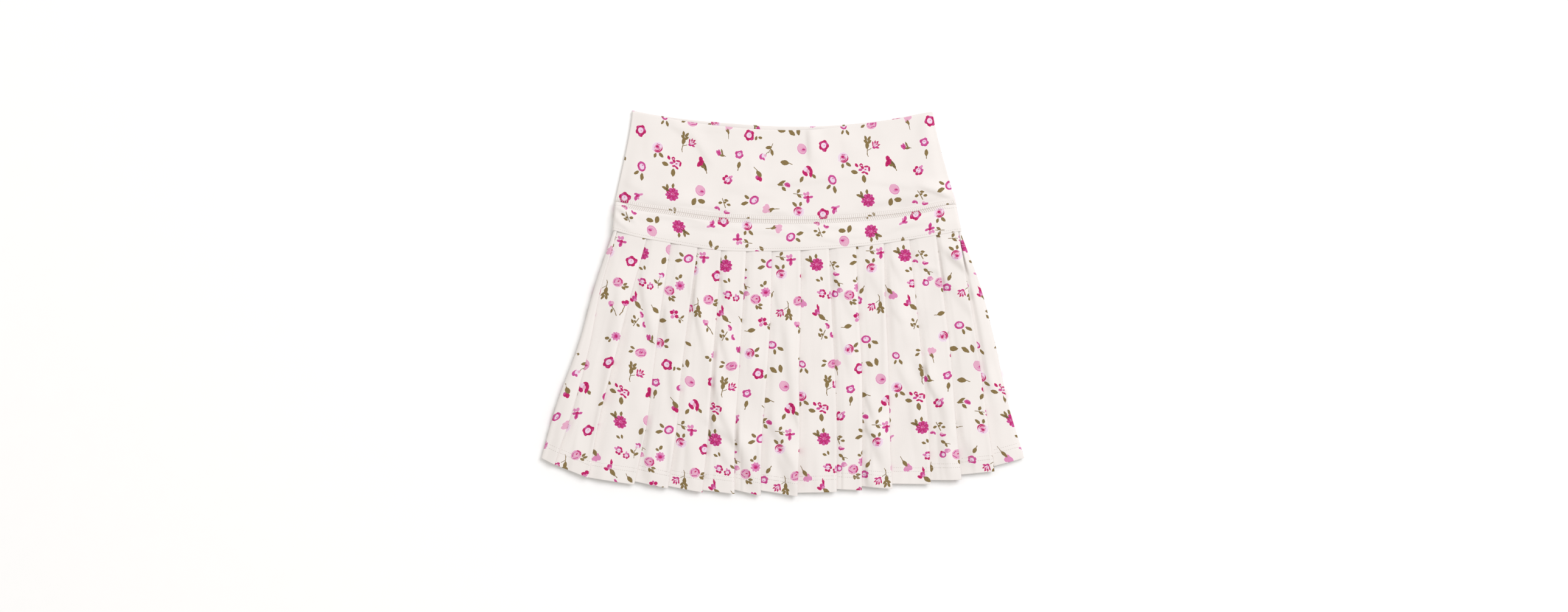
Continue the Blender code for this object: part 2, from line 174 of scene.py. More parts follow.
DRAWINGS = {
    "wreath": """
        magenta oval: 0 0.2 5 5 0, -2.6 3.4 2.1 2 30, 2.3 3.9 2.3 1.8 -30, 4.1 -0.8 1.5 2.3 10,
        -4 -0.6 1.6 2.4 -10, -0.6 -4.6 2.4 1.6 -15; orchid oval: 3.6 1.4 1.2 1.6 10;
        orchid stem: -1.6 -4.2 1 0.4 20, -2.6 4 0.9 0.35 40; deep stem: -4 1 1.2 0.4 80,
        2.7 -3 1 0.35 50; white oval: -0.1 0.5 2.8 2.9 25, 1 1.6 1.5 1.3 -30, -0.5 -1 1.7 1.3 0;
        light stem: 0.5 0.1 0.8 0.3 -40
    """,
    "striped rose": """
        white oval: 0 0 5.5 5.3 0; magenta oval: 0.6 -0.1 4.6 4.5 20;
        white oval: -0.3 0.5 4.4 4.2 20; magenta oval: 0 -0.6 3.3 3 0; pink oval: -0.4 0.2 3 2.8 0;
        white stem: -3 -3.2 1.6 0.6 40, 3.1 3 1.4 0.45 40; magenta oval: -0.8 0.8 1.7 1.2 25;
        orchid stem: -0.6 3.2 1.7 0.4 8; orchid oval: 0.7 0.1 1 0.9 0;
        olive leaf: 6.6 -4.9 3.3 1.5 -20, 1.2 -7.7 2.6 1.3 -80
    """,
    "pale disc": """
        light oval: 0 0 4.9 5.8 15; pink oval: 0 0.4 4.3 5.1 15; light oval: 0.7 -1 3.1 2.1 -28;
        pink oval: 0.2 -0.3 2.6 1.3 -28; orchid oval: 1.4 -1.2 2 1 -28;
        magenta oval: 1.8 -1.2 1.2 0.45 -28
    """,
    "leaf pair": """
        olive leaf: -3.9 0.6 4.6 2.1 -55, 3.4 -0.3 4.5 2 80
    """,
    "two leaves": """
        olive leaf: 4 1.6 4.1 2.2 6, -3.2 -1.4 4.2 2.2 84
    """,
    "ringlet": """
        orchid oval: 0 0 4.3 5.2 15; magenta stem: -3.2 1.2 1.6 0.35 75, 0.9 -4.3 1.2 0.3 10;
        white oval: 0.3 -0.1 2.3 3 15; orchid oval: 1.1 1.1 0.9 0.5 -40;
        olive leaf: -5.9 -5.9 3.2 1.5 28, -0.7 -10.4 4.2 1.7 85
    """,
    "tiny tulip": """
        orchid leaf: -1.9 1.9 2.7 1.3 108, -0.2 1.8 2.8 1.2 80; orchid oval: -0.9 0 2.2 1.9 30;
        magenta stem: -0.8 0.6 1.2 0.35 95; olive leaf: 2.7 0.4 3.6 0.9 88, 1.6 -2.7 3 1.1 -28;
        olive stem: 4.1 -4.1 1.2 0.35 -50
    """,
    "fan bud": """
        orchid leaf: 3.2 -0.4 3.6 2 -28; orchid oval: 4.2 -1.6 2.1 1.6 -50;
        magenta stem: 3.6 -1 1.6 0.4 -40; olive leaf: -1.8 3 4.3 1.3 14, -3.9 1.3 3.4 1.1 -18,
        -1.5 -3.6 3.2 1.6 -62
    """,
    "pale tulip": """
        pink oval: -2.4 1.7 2.2 3 24, 0.2 2.9 2.2 2.6 0, 2.7 2 2 2.8 -24, 0.1 -0.8 2.5 2.7 0;
        olive leaf: 1.9 -3.4 3.2 1.2 -52, 0.3 -3.4 2 0.8 -10; olive stem: 4.2 -7.4 3.2 0.38 -62
    """,
    "dusky tulip": """
        light oval: -2.3 1.7 2.1 2.9 24, 0.2 2.7 2.2 2.5 0, 2.5 1.9 1.9 2.7 -24,
        0.1 -0.7 2.4 2.6 0; olive leaf: 2.6 -4 4.2 1.7 -60; olive stem: 5.2 -9.2 3 0.38 -70
    """,
    "carnation": """
        pink oval: 4.1 0 3.6 3.1 45; magenta leaf: 1.5 0.3 3.1 0.9 108, 3 1.5 3.4 0.95 80,
        5 1.6 3.3 0.95 52, 6.3 -0.2 3.2 0.9 24; rose leaf: 5.9 -2.3 2.6 0.9 -4;
        rose oval: 3 -2.5 2.2 1.5 20; white leaf: 2.4 0.5 2 0.5 94; pink leaf: 4.1 0.8 2.3 0.6 64;
        white leaf: 5.1 -0.7 2 0.45 38; olive leaf: -7.3 5.6 2.9 1.3 -58, -3.6 5.7 3 1.3 62,
        -7 2.3 3 1.3 -30, -2.9 2.3 2.9 1.3 48, -5 -1.4 4.1 1.9 -84;
        olive stem: -4.3 -7.2 3.6 0.42 -84, -3.2 -11.7 1.3 0.38 -55, -2 -5.2 2.2 0.36 40
    """,
    "pale rose": """
        pink oval: 0 0 6.1 4.7 5, 2.4 2.2 3.2 2.7 0; orchid stem: -3.6 2.4 1.8 0.5 32,
        0.6 3.3 1.6 0.42 -12; light stem: 3.7 1.6 1.8 0.6 -62; orchid stem: 4.2 -1.2 1.6 0.45 -105,
        0.9 -2.7 2.6 0.5 -4; light stem: -3.5 -1.8 1.7 0.5 -48; light oval: 0.4 0.6 2.4 1.7 10;
        orchid stem: -0.9 0.9 1.3 0.4 62; magenta oval: 0.6 0.2 1 0.7 20;
        orchid stem: 2.1 0.6 1 0.36 -70
    """,
    "rose": """
        pink oval: 0 0 5.4 5.2 0; light oval: 0.9 0.7 3.9 3.6 0; pink oval: 0.1 0.2 2.8 2.5 0;
        magenta stem: 3.3 2.5 1.8 0.55 -50, 4.3 -0.4 1.4 0.5 -95;
        orchid stem: -1.6 -2.7 2.2 0.5 -15, -3.2 1.5 1.6 0.45 65; magenta oval: 0.8 0.9 1.2 0.7 25;
        olive leaf: 7.1 -3.2 2.6 1.1 18, 7.7 -6.2 2.7 1.2 -12, 4.6 -7 2.7 1.2 -55
    """,
    "pentagon": """
        orchid oval: 0 0 4 3.8 0, -2.5 2 1.9 1.7 40, 2.4 2.2 1.9 1.6 -40, 2.9 -1.4 1.6 1.8 10,
        -2.7 -1.4 1.7 1.8 0, 0.2 -3 2.2 1.4 0; magenta stem: -2.8 2.1 1.1 0.3 50,
        2.7 -2.5 1 0.3 40; white oval: 0.2 0.1 2.2 1.9 15; orchid stem: 0.5 0.7 0.8 0.35 -20;
        olive leaf: -1.9 -10.7 4 1.8 68; olive stem: -3.6 -15 1.2 0.4 72
    """,
    "sprig and hearts": """
        olive stem: 0.6 3.8 5.4 0.42 -46; olive leaf: 1.6 7.6 2.9 1.1 12, 6.1 4.4 2.5 1.2 6,
        -3.1 2.3 2.4 1.3 32, 1.3 4.9 1.9 0.9 30; pink oval: -4 -3.4 2.6 1.3 12;
        orchid oval: -4.6 -4.5 2.1 1.4 28, -1.7 -4.2 2 1.2 -38; pink oval: 6.6 -3.1 2.3 1.2 -8;
        orchid oval: 6.3 -4.8 2.2 1.1 -30, 9.2 -3.9 2.2 1.4 22; magenta oval: -4.1 -4.9 1 0.5 20,
        8 -4.7 1 0.5 0
    """,
    "butterfly": """
        light oval: 2.5 2.9 2.7 1.2 38; orchid oval: -2.3 1 1.7 1.1 30, 0.2 0.6 2.1 1.9 0;
        orchid leaf: -0.4 -2.6 3 1.5 -78; light oval: 1.9 -1.4 1.5 1 -45;
        magenta oval: 0 -0.1 1.3 1 20
    """,
    "star flower": """
        light oval: -0.8 3.9 1.9 2.3 20, -3.9 2.2 2.3 1.5 -20; orchid oval: 4 1.3 2.4 1.4 38;
        orchid leaf: 1.5 -3.3 4.1 1.9 -78; orchid oval: -2.2 -1.1 2.6 1.5 22;
        magenta oval: 0.6 0.4 2 1.5 10; magenta stem: 1.4 -3 1.5 0.5 -78;
        olive leaf: -12 3.4 3 1.6 78, -9.6 -1.5 3.4 1.3 -22; olive stem: -11.4 -0.2 5.4 0.38 10
    """,
    "five petals": """
        magenta oval: -0.7 3.3 2 1.6 10, -3.6 1.5 1.6 2 20, -2.8 -2.3 1.8 1.7 40,
        0.4 -3.8 2.3 1.3 0; orchid oval: 3.1 -2 1.9 1.5 30, 2.7 1 1.9 1.8 0;
        light oval: 4.3 1.9 1.8 1.2 25; white oval: -0.1 -0.1 2.4 2.4 0;
        orchid oval: -1.4 -1.1 1 0.5 30, 0.6 0.9 0.8 0.5 -20
    """,
    "daisy": """
        light oval: 3 0.2 2 1.3 4, 2.3 2.2 2 1.3 43, 0.5 3.2 2 1.3 82, -1.7 2.7 2 1.3 122,
        -3.1 0.8 2 1.3 163, -2.8 -1.6 2 1.3 208, -0.9 -3.1 2 1.3 252, 1.4 -3 2 1.3 293,
        2.9 -1.6 2 1.3 332; orchid oval: 0.1 0 2.4 2.1 0; magenta oval: 0.4 -0.3 1.5 1.1 10;
        orchid stem: -2.4 1.6 0.9 0.3 140, 2.4 1.5 0.9 0.3 35; olive leaf: -3.6 8.8 2.8 1.5 86,
        -5.9 5.2 2.2 1.2 -20
    """,
    "bouquet": """
        magenta oval: -8.3 3.3 2.2 1.5 -35, -3.4 4.2 1.9 1.8 40, -1.6 1.9 1.9 1.3 -30,
        2.4 3.6 2.6 1.1 12, 5.6 1.4 1.2 2.6 8; orchid oval: -3.4 -0.7 2.2 1.3 20;
        magenta oval: 0.2 -2.6 2.4 1 20, 3.4 -3.2 2.3 1.1 -20; white oval: 2.2 0.3 2.6 2.2 0,
        -3.2 3.7 0.9 0.6 30; magenta oval: 1.7 0.4 1.2 0.7 30; olive leaf: -9.4 -4 4 1.9 -4,
        1.7 -9.3 4.4 2.1 -72
    """,
    "cone tulip": """
        magenta oval: 0.6 3.7 2.2 3 -8, -1.6 -0.6 3 2.3 35, 1.5 -0.4 2.4 3.1 0;
        magenta leaf: -2.6 -1.4 2.8 1.6 40; deep stem: 0.5 1.9 1.9 0.4 80, -1.4 -0.3 1.4 0.35 60;
        dark olive leaf: 3.3 -4.8 5.2 1.5 -84; olive leaf: 1.1 -4.1 3 1.1 -32;
        olive stem: 3.7 -9.6 1.8 0.42 -86
    """,
    "turned bud": """
        orchid oval: -0.4 -2.8 1.8 2 30; magenta oval: 3.2 -2.7 3.1 1.9 -38, 1.4 -3.9 1.7 1.3 0;
        olive leaf: 0 1.3 4.3 2.1 -24; olive stem: -5.4 4.4 2.7 0.45 -22
    """,
    "branch and bud": """
        olive stem: 2.6 5.2 5.2 0.42 80, -0.4 -1.9 3 0.38 62; olive leaf: 0.2 5.3 3.9 1.6 26,
        5.1 1.6 3.9 1.5 -58; orchid oval: -4.2 -5.8 2.6 3.3 -20; white oval: -2.2 -4.6 2.6 2.7 0;
        pink oval: -0.9 -3.6 1.4 1.3 0; orchid leaf: -1.5 -7.7 2 1 -30
    """,
    "leaf": """
        olive leaf: -1 -0.4 5 2.4 14; olive stem: 5 1 2 0.42 2
    """,
    "sprig": """
        olive leaf: -2.4 1.5 3.4 1.6 -26, 1.6 -2 3 1.2 -58; olive stem: 1.8 0 4.6 0.4 -8
    """,
    "blossom": """
        rose oval: 0 -0.4 5.4 5 0, 5.6 -0.8 2 1.8 5; orchid oval: 4.7 2.5 2 1.8 30;
        rose oval: 2.1 4.5 1.8 2 0; orchid oval: -1.3 4.7 2 1.8 0; rose oval: -4.4 3 1.9 2 40;
        orchid oval: -5.6 -0.2 2.1 1.7 -5; rose oval: -4.4 -3.6 2 1.9 35;
        orchid oval: -1.4 -5.6 2.1 2 0; rose oval: 2 -5.8 2 2 0; orchid oval: 4.8 -4.2 2 1.7 -45;
        deep stem: 3.2 3.9 1.6 0.4 55, 0.3 3.9 1.2 0.35 95, -2.9 3.3 1.4 0.38 125,
        4.6 0.7 1.3 0.35 12, -4.2 1.3 1.2 0.35 160, -4.1 -1.9 1.4 0.38 24, 3.6 -2.6 1.6 0.38 -40,
        0.4 -4.6 1.5 0.36 88, -2.5 -3.9 1.3 0.35 58; light oval: 0.2 0 1.7 1.2 20;
        light stem: -3 1.9 0.6 0.3 -30, 2.4 -1.4 0.7 0.3 10; magenta oval: 0.6 0.1 0.9 0.6 0;
        olive leaf: -7.7 6.9 3.8 1.3 -42, -4.7 8.3 3.2 1.4 -84, 1.7 8.8 2.9 1.4 76;
        dark olive leaf: -5.1 5 2.6 1.3 -50
    """,
    "curl": """
        magenta oval: -3 -0.9 2.1 3.8 18, 2.6 3 3 2.2 -35, 3.9 -0.8 1.7 3.4 0;
        magenta leaf: 2.6 -4 3.8 1.7 68; deep stem: 3.2 1.4 1.6 0.4 70;
        white oval: -0.8 2.4 2.3 2.4 10; pink oval: 0.6 -0.2 1.4 2.2 0;
        olive leaf: -8.6 -5.5 3.6 1.7 38, 4.9 -7.4 2.9 1.4 -72
    """,
    "petal pair": """
        orchid oval: -2.4 -0.8 3.4 3.4 0; light oval: 3.4 0.8 2.7 2.6 0;
        pink oval: 5.1 -0.7 1.7 1.5 0; magenta oval: -2.3 2.5 1.2 0.9 0;
        white oval: -2 -1 1.7 1.7 0
    """,
    "trumpet": """
        magenta leaf: -1.5 4.2 4.2 1.1 -58; orchid oval: -1 0.1 3 2.4 -25;
        magenta oval: -3 -2.9 2.7 1.5 -8; light oval: 0.9 -1.1 2.1 1.3 -40;
        magenta stem: -2.3 0.6 1.3 0.35 -60; olive leaf: 5.3 -3.4 4.8 2 -20;
        olive stem: 10.2 -4.9 1.9 0.42 -8
    """,
    "clover": """
        magenta oval: -2.4 2.5 2.5 2.1 -45, 2.5 2.3 2.4 2.1 45, 2.4 -2.5 2.3 2.1 -45;
        light oval: -2.5 -2.4 2.4 2 45; orchid oval: -0.2 4.4 1.3 1.2 0; white oval: 0 0 1.6 1.5 0;
        orchid oval: 0.4 0.1 0.7 0.5 0; olive stem: 6.4 -5.6 3.9 0.4 -42;
        olive leaf: 8.9 -3.6 2.8 1.2 28, 5.2 -8.2 2.7 1.2 -78
    """,
    "twin tulips": """
        light oval: -8.4 5.6 1.9 3.1 14; pink oval: -6.3 5 1.8 2.9 -12;
        orchid oval: -7.6 3.4 2 1.3 10; magenta oval: 6 6.4 2.3 2 -30, 9.6 6.8 2.1 2.3 30;
        light oval: 7.6 4 2.5 1.8 0; magenta oval: 7.8 5.5 1.3 1 0;
        olive stem: -5.6 -0.4 3.2 0.5 -62, -3.3 -5.8 2.8 0.5 -72, 5.7 -0.2 3 0.5 66,
        3 -5.4 3 0.5 50; olive leaf: -7.4 -2.8 2.6 0.9 70
    """,
}


def read_dabs(text):
    """A motif's dabs as (ink, form, x, y, half length, half width, turn), in painting order."""
    dabs = []
    for group in " ".join(text.split()).split("; "):
        head, rest = group.split(": ")
        dabs += [(*head.rsplit(" ", 1), *map(float, dab.split())) for dab in rest.split(", ")]
    return tuple(dabs)


def read_chart(text):
    """The chart's rows as (x, y, turn, size, motif)."""
    rows = [line.split(None, 4) for line in text.strip().splitlines()]
    return tuple((*map(float, row[:4]), row[4]) for row in rows)


MOTIFS = {name: read_dabs(text) for name, text in DRAWINGS.items()}

# One repeat of the print: 210.6 across and 186.6 down. x and y run right and down from its
# corner, and the turn is anticlockwise
REPEAT = (210.6, 186.6)
# x, y, turn, size, motif
CHART = read_chart("""
    23 15 14 1 wreath
    44.5 29 -18 1.04 striped rose
    208.5 17.6 22 1 pale disc
    78 17.6 -12 1 carnation
    114.9 25.5 25 1 tiny tulip
    168.5 21.6 -16 1 branch and bud
    136.8 25 12 1 pentagon
    3.2 41.7 20 1 curl
    189.9 32.4 -22 1 leaf
    30.6 51.6 15 1 ringlet
    66.1 43.3 -14 1 bouquet
    94.7 38.2 18 1 cone tulip
    159.4 46.3 -24 1 turned bud
    125.6 52.6 16 1 five petals
    188.2 56.3 14 1 fan bud
    2.7 69.2 -18 0.9 star flower
    97.1 67.6 22 1 pale disc
    95 79.5 -12 1 two leaves
    155.7 73.1 -65 1 ringlet
    31.4 82.8 -16 1 butterfly
    67.5 75.5 12 0.93 blossom
    19 87.5 115 1 wreath
    121.5 81.2 -22 0.93 sprig and hearts
    170.6 82.8 65 1 pale tulip
    203.5 84.5 156 1 striped rose
    70.5 92 30 0.55 leaf pair
    72 107 136 0.85 five petals
    90 101.5 196 0.8 branch and bud
    81 110 74 0.7 five petals
    150.5 103.5 -18 1 daisy
    127 107 22 1 petal pair
    128.5 97 -12 0.85 sprig
    11 114 25 1 rose
    50.5 115.5 184 1 dusky tulip
    140 111 -23 1 rose
    188 117.5 168 0.95 pentagon
    67 127 -22 1 trumpet
    148.5 135.5 15 0.9 clover
    206.5 126 178 0.95 carnation
    89.5 134 128 0.85 leaf
    136 144.5 176 0.85 leaf
    18.5 141.5 16 0.95 twin tulips
    75 150.5 109 0.95 sprig and hearts
    194.5 160 70 0.95 ringlet
    23.5 172.5 87 0.95 daisy
    88 166 8 1 tiny tulip
    136.5 169 65 1 striped rose
    47 181.5 34 0.8 ringlet
    80.5 183 12 1 pale rose
    70.5 181.5 82 0.6 leaf pair
    122 184 -22 0.95 pale tulip
    147.5 4 55 1 wreath
    157.5 6.5 -14 0.6 two leaves
    201 186.1 18 1 leaf pair
    183.5 184 156 1 leaf
    111 120.5 76 0.8 leaf
    173.5 151.5 -26 0.9 tiny tulip
""")
DRAWN = 1.04
# A leaf's arcs are drawn shorter and narrower by the first two and then widened by the third
TIP = (0.6, 0.25, 0.45)
HALO = 0.9  # the paler edge that each motif leaves round itself
REACH = 1.0  # how far past its ink a motif's own cloth runs
INK_EDGE = 0.22  # half the width over which an ink fades at its edge

# How each piece was laid on the printed cloth: the chart's x and y at the piece's own origin
SKIRT_CLOTH = (-460.8, 59.8)
BAND_CLOTH = (189.2, 93.5)
YOKE_CLOTH = (-48.9, 91.6)
BACK_BAND_CLOTH = (134.5, 169.0)
BAND_MIDDLE = 2.6
BACK_BAND_MIDDLE = -70.2
BAND_DRAW = (1.012, 0.00107)  # the cloth's width at the seam, and how it draws in above it
BACK_BAND_DRAW = 0.92
YOKE_DRAW = 0.975
BACK_YOKE_SHIFT = 61.0  # how much further along the print the back's yoke was cut

# ---------------------------------------------------------------------------------------------
# Creases, placed along the line of each one's steep side, from its upper end to its
# lower one. The cloth steps up across the line towards the right and falls away slowly.
# x and y of one end, x and y of the other, width of the steep side, height
# ---------------------------------------------------------------------------------------------

BAND_CREASES = table("""
    -122 192 -99 176 9 1.92
    -97 178 -80 151 5.5 1.44
    -92 186 -30 183 6 0.8
    26.5 192 28 157 6 3.04
    150 203 147 172 14 1.92
    140 172 132 150 12 0.8
    6 127 52 132 7 1.28
    -45 125 6 127 6 0.64
    52 132 78 135 6 0.48
    100 128 156 120 6 1.6
    148 124 186 111 4.5 3.04
    92 104 150 115 8 2.4
    -168 114 -130 109 6 0.64
    -112 107 -60 100 5 0.96
    -25 98 2 97 4 0.8
    -148 190 -146 160 8 0.64
    62 180 66 158 7 0.56
    -38 156 -35 134 5 0.56
    126 104 176 116 6 1.44
    -60 122 -12 112 8 0.8
    -168 128 -150 118 6 0.96
""")
YOKE_CREASES = table("""
    -178.5 103 -164 90.5 3.2 2.16
    -173 99 -160 87.5 2.8 1.51
    -179.6 98 -176.5 84 3 1.51
    -112 92.5 -82 85.5 4.5 2.16
    -58 80 -30 74 5 1.08
    18 82 40 75 6 0.86
    30 70.5 58 66 4.5 1.08
    104 73 152 88 7 1.73
    118 81 170 85 5 0.86
    140 88 178 99 4 1.08
    -150 95 -112 90 4.5 1.51
    -100 83 -66 78 4 1.3
    -28 77 8 73 4 1.08
    44 82 84 77 5 1.3
    60 71 92 71 4 1.08
    88 88 140 94 4 1.51
    -10 88 26 84 5 0.97
    -180 92 -168 80 3 1.2
    -168 97 -146 88 4 1
""")
SKIRT_CREASES = table("""
    -178.5 27 -177 -35 7 1.28
    -187 -50 -205 -180 11 3.84
    -153 26 -144 -30 8 3.36
    -146 -12 -139 -42 7 1.44
    -127 -6 -124.5 -42 7 2.72
    -121.5 -62 -118 -112 8 3.52
    -123 -132 -121 -182 9 3.36
    -97.5 8 -84 -54 6.5 2.88
    -87 -58 -80 -98 10 1.28
    -69 27 -56 -10 7 1.6
    -66 -36 -58 -72 7 2.88
    -74 -84 -66 -122 7 2.4
    -66 -118 -51 -154 8 2.88
    -47 -154 -34 -194 12 4
    -71 -150 -61 -170 6 2.08
    -11 20 -5 -6 5 1.44
    2 -32 9 -108 9 3.84
    -15 -126 8 -172 8 3.52
    -4 -164 8 -198 12 4
    10 -112 17 -132 5 1.6
    39.5 -50 40 -92 4 0.8
    34 26 35 -6 5 0.64
    53 31 63 8 8 2.72
    64 6 75 -17 7 1.28
    66 -44 67 -64 5 0.8
    93 30 106 4 8 1.6
    105.5 -4 106.5 -112 5 1.44
    88 -98 99 -130 6 2.24
    86 -130 93 -141 5 1.76
    92 -134 106 -174 10 3.52
    86 -176 92 -198 9 3.68
    114 50 125 26 6 1.6
    116 -6 126 -20 6 1.12
    126 -12 130 -44 6 1.28
    122 -68 131 -88 6 1.28
    134 -90 141 -154 7 1.76
    148 39 166 33 3 1.28
    136 60 150 42 10 1.28
    160 70 182 48 8 3.52
    178 50 197 33 7 3.52
    174 22 201 -12 9 1.92
    202 -14 207 -60 8 1.6
    151 -80 168 -108 7 2.4
    167 -106 178 -142 10 3.04
    168 -138 176 -184 9 3.52
    194 -146 201 -172 8 1.92
    211 -64 221 -90 4 2.56
    226 -100 230 -126 4 0.96
    -235 -100 -244 -158 7 1.6
    -36 -50 -32 -102 9 1.76
    -150 -130 -147 -184 9 2.88
    -104 -134 -99 -192 10 2.88
    -82 -126 -52 -150 9 2.4
    62 -34 70 -72 6 1.28
    139 -58 149 -84 7 1.44
    -28 -148 -22 -192 8 2.24
    30 -150 33 -196 8 0.96
    -178 10 -186 -36 8 1.44
""")
BACK_CREASES = table("""
    -150 30 -136 -40 9 1.56
    -84 20 -72 -60 8 1.82
    -40 -60 -30 -140 10 1.95
    12 30 20 -30 8 1.3
    40 -110 52 -180 9 2.08
    96 10 108 -50 8 1.69
    150 -60 166 -130 10 1.95
    -120 -120 -128 -180 9 1.56
""")
CREASE_FALL = 1.6  # how slowly a crease falls away, in widths of its steep side
CREASE_SPAN = 0.62  # half a crease's fading length, as a share of its line
RIPPLE_WAVES = (26.0, 37.0, 53.0, 71.0, 96.0)
# seed and height of each piece's ripple
BAND_RIPPLE = (3, 0.28)
YOKE_RIPPLE = (8, 0.18)
SKIRT_RIPPLE = (11, 0.5)
BACK_RIPPLE = (12, 0.5)
RIPPLE_SQUEEZE = (1.6, 0.55)  # across and along the pleats
FACE_LIFT = 0.4  # keeps a pleat's face clear of the layers under its dips
BACK_CREASE_SHARE = 0.3

# Where the creases and other forms fade in: where the fade starts, over what distance or share
# it runs, and what is left before it
BAND_SIDE_FADE = (0.0, 10.0, 0.0)
BAND_SEAM_FADE = (3.6, 4.0, 0.0)
BAND_TOP_FADE = (0.0, 0.06, 0.6)
PUFF_DOWN_FADE = (0.0, 0.9, 0.0)
PUFF_SIDE_FADE = (0.0, 30.0, 0.0)
GROOVE_SIDE_FADE = (0.0, 4.0, 0.0)
LIP_FADE = (0.0, 5.0, 0.0)
LIP_TOP_FADE = (-40.0, 30.0, 0.0)
YOKE_EDGE_FADE = (0.0, 0.25, 0.3)
YOKE_SEAM_FADE = (0.0, 8.0, 0.15)
YOKE_PRESS_FADE = (0.0, 9.0, 0.0)
LADDER_FADE = (-4.4, 0.8, 0.0)
FACE_FADE = (2.0, 26.0, 0.0)
FIRST_LEVEL_FADE = (0.05, 0.6, 0.0)
LAST_CREASE_FADE = (0.15, 0.3, 0.0)
RISE_CREASE_FADE = (0.1, 0.5, 0.0)
FIRST_CREASE_LEAST = 0.3


# ---------------------------------------------------------------------------------------------
# Curves and small sums
# ---------------------------------------------------------------------------------------------


def srgb(colour):
    """Linear values of a colour given as screen values from 0 to 255, by the sRGB curve."""
    c = np.asarray(colour, float) / 255.0
    return np.where(c <= 0.04045, c / 12.92, ((c + 0.055) / 1.055) ** 2.4)


def smooth(at, xs, ys):
    """Heights at given places on the smooth curve through a few points (cubic Hermite)."""
    xs, ys = np.asarray(xs, float), np.asarray(ys, float)
    slope = np.gradient(ys, xs)
    i = np.clip(np.searchsorted(xs, at, side="right") - 1, 0, len(xs) - 2)
    gap = xs[i + 1] - xs[i]
    s = (at - xs[i]) / gap
    near = (2 * s + 1) * (1 - s) ** 2 * ys[i] + s * (1 - s) ** 2 * gap * slope[i]
    far = s**2 * (3 - 2 * s) * ys[i + 1] + s**2 * (s - 1) * gap * slope[i + 1]
    return near + far


def ease(t):
    """Nought below 0, one above 1, and a soft S between them: 3t² − 2t³."""
    t = np.clip(t, 0.0, 1.0)
    return t * t * (3.0 - 2.0 * t)


def fade(value, rule):
    """A soft start: what is left before it + the rest × 3t² − 2t³, t being how far in it is."""
    start, width, least = rule
    return least + (1.0 - least) * ease((value - start) / width)


def dent(distance, width):
    """One at a line, fading to either side: exp(−(distance ÷ width)²)."""
    return np.exp(-((distance / width) ** 2))


def turned(degrees):
    """Cosine and sine of an angle in degrees."""
    return math.cos(math.radians(degrees)), math.sin(math.radians(degrees))


def cross_height(curve, across):
    """Height Y of a cross curve at shares of the way from the left side to the right."""
    return smooth(across, CROSS[:, 0], CROSS[:, CROSS_COLUMN[curve]])


def curve_at(curve, x):
    """Height Y of a cross curve at places X, held level past its two ends."""
    left, right = SIDES[curve]
    return cross_height(curve, np.clip((x - left) / (right - left), 0.0, 1.0))


def side_at(curve, share, side):
    """X of a garment side between a cross curve, at 0, and the seam, at 1. side is 0 or 1."""
    return SIDES[curve][side] + (SIDES["seam"][side] - SIDES[curve][side]) * share


def relief(x, y, creases, scale):
    """Sum of the creases' heights.

    Across its line each one rises by 3t² − 2t³ over the steep side's width, then falls away as
    exp(−((t − 1) ÷ 1.6)²), t being widths past the line; along it, it fades as exp(−s⁴).
    """
    total = np.zeros(np.broadcast(x, y).shape)
    for x0, y0, x1, y1, width, height in creases:
        length = math.hypot(x1 - x0, y1 - y0)
        ux, uy = (x1 - x0) / length, (y1 - y0) / length
        dx, dy = x - (x0 + x1) / 2, y - (y0 + y1) / 2
        along = (dx * ux + dy * uy) / (CREASE_SPAN * length)
        across = (dy * ux - dx * uy) / width + 0.5
        fall = dent(np.maximum(across - 1.0, 0.0), CREASE_FALL)
        total += height * ease(across) * fall * np.exp(-(along**4))
    return total * scale


def ripple(x, y, seed, size):
    """A gentle unevenness: the sum of five sine waves, their headings and phases from a seed."""
    rng = np.random.default_rng(seed)
    total = np.zeros(np.broadcast(x, y).shape)
    for wave in RIPPLE_WAVES:
        heading = rng.uniform(-0.7, 0.7)
        phase = rng.uniform(0.0, 2 * math.pi)
        gone = (x * math.cos(heading) + y * math.sin(heading)) / wave
        total += wave * np.sin(2 * math.pi * gone + phase)
    return total * size / RIPPLE_WAVES[-1]


# ---------------------------------------------------------------------------------------------
# The print's places
# ---------------------------------------------------------------------------------------------


def leaf_arc(length, width):
    """The radius of a leaf's two arcs, (a² + b²) ÷ 2b, and how far past its line they centre."""
    length, width = length - TIP[0], width - TIP[1]
    radius = (length**2 + width**2) / (2.0 * width)
    return radius, radius - width


def dab_distance(dab, x, y):
    """Distance in millimetres from a dab's edge, below nought inside it.

    An oval's is (length of the scaled point − 1) × its smaller half, a stem's is the distance
    from its line less its half width, and a leaf's is that from the arc of a circle through
    its two tips.
    """
    form, cx, cy, length, width, turn = dab[1:]
    c, s = turned(turn)
    along = (x - cx) * c + (y - cy) * s
    across = (y - cy) * c - (x - cx) * s
    if form == "oval":
        return (np.hypot(along / length, across / width) - 1.0) * min(length, width)
    if form == "stem":
        return np.hypot(along - np.clip(along, -length, length), across) - width
    radius, sag = leaf_arc(length, width)
    return np.hypot(along, np.abs(across) + sag) - radius - TIP[2]


def motif_reach(name):
    """How far a motif's ink reaches from its middle."""
    return max(math.hypot(dab[2], dab[3]) + dab[4] + dab[5] for dab in MOTIFS[name])


def repeats(low, high, place, reach, step):
    """Which repeats of a motif can touch the span from low to high."""
    first = math.ceil((low - place - reach) / step)
    return range(first, math.floor((high - place + reach) / step) + 1)


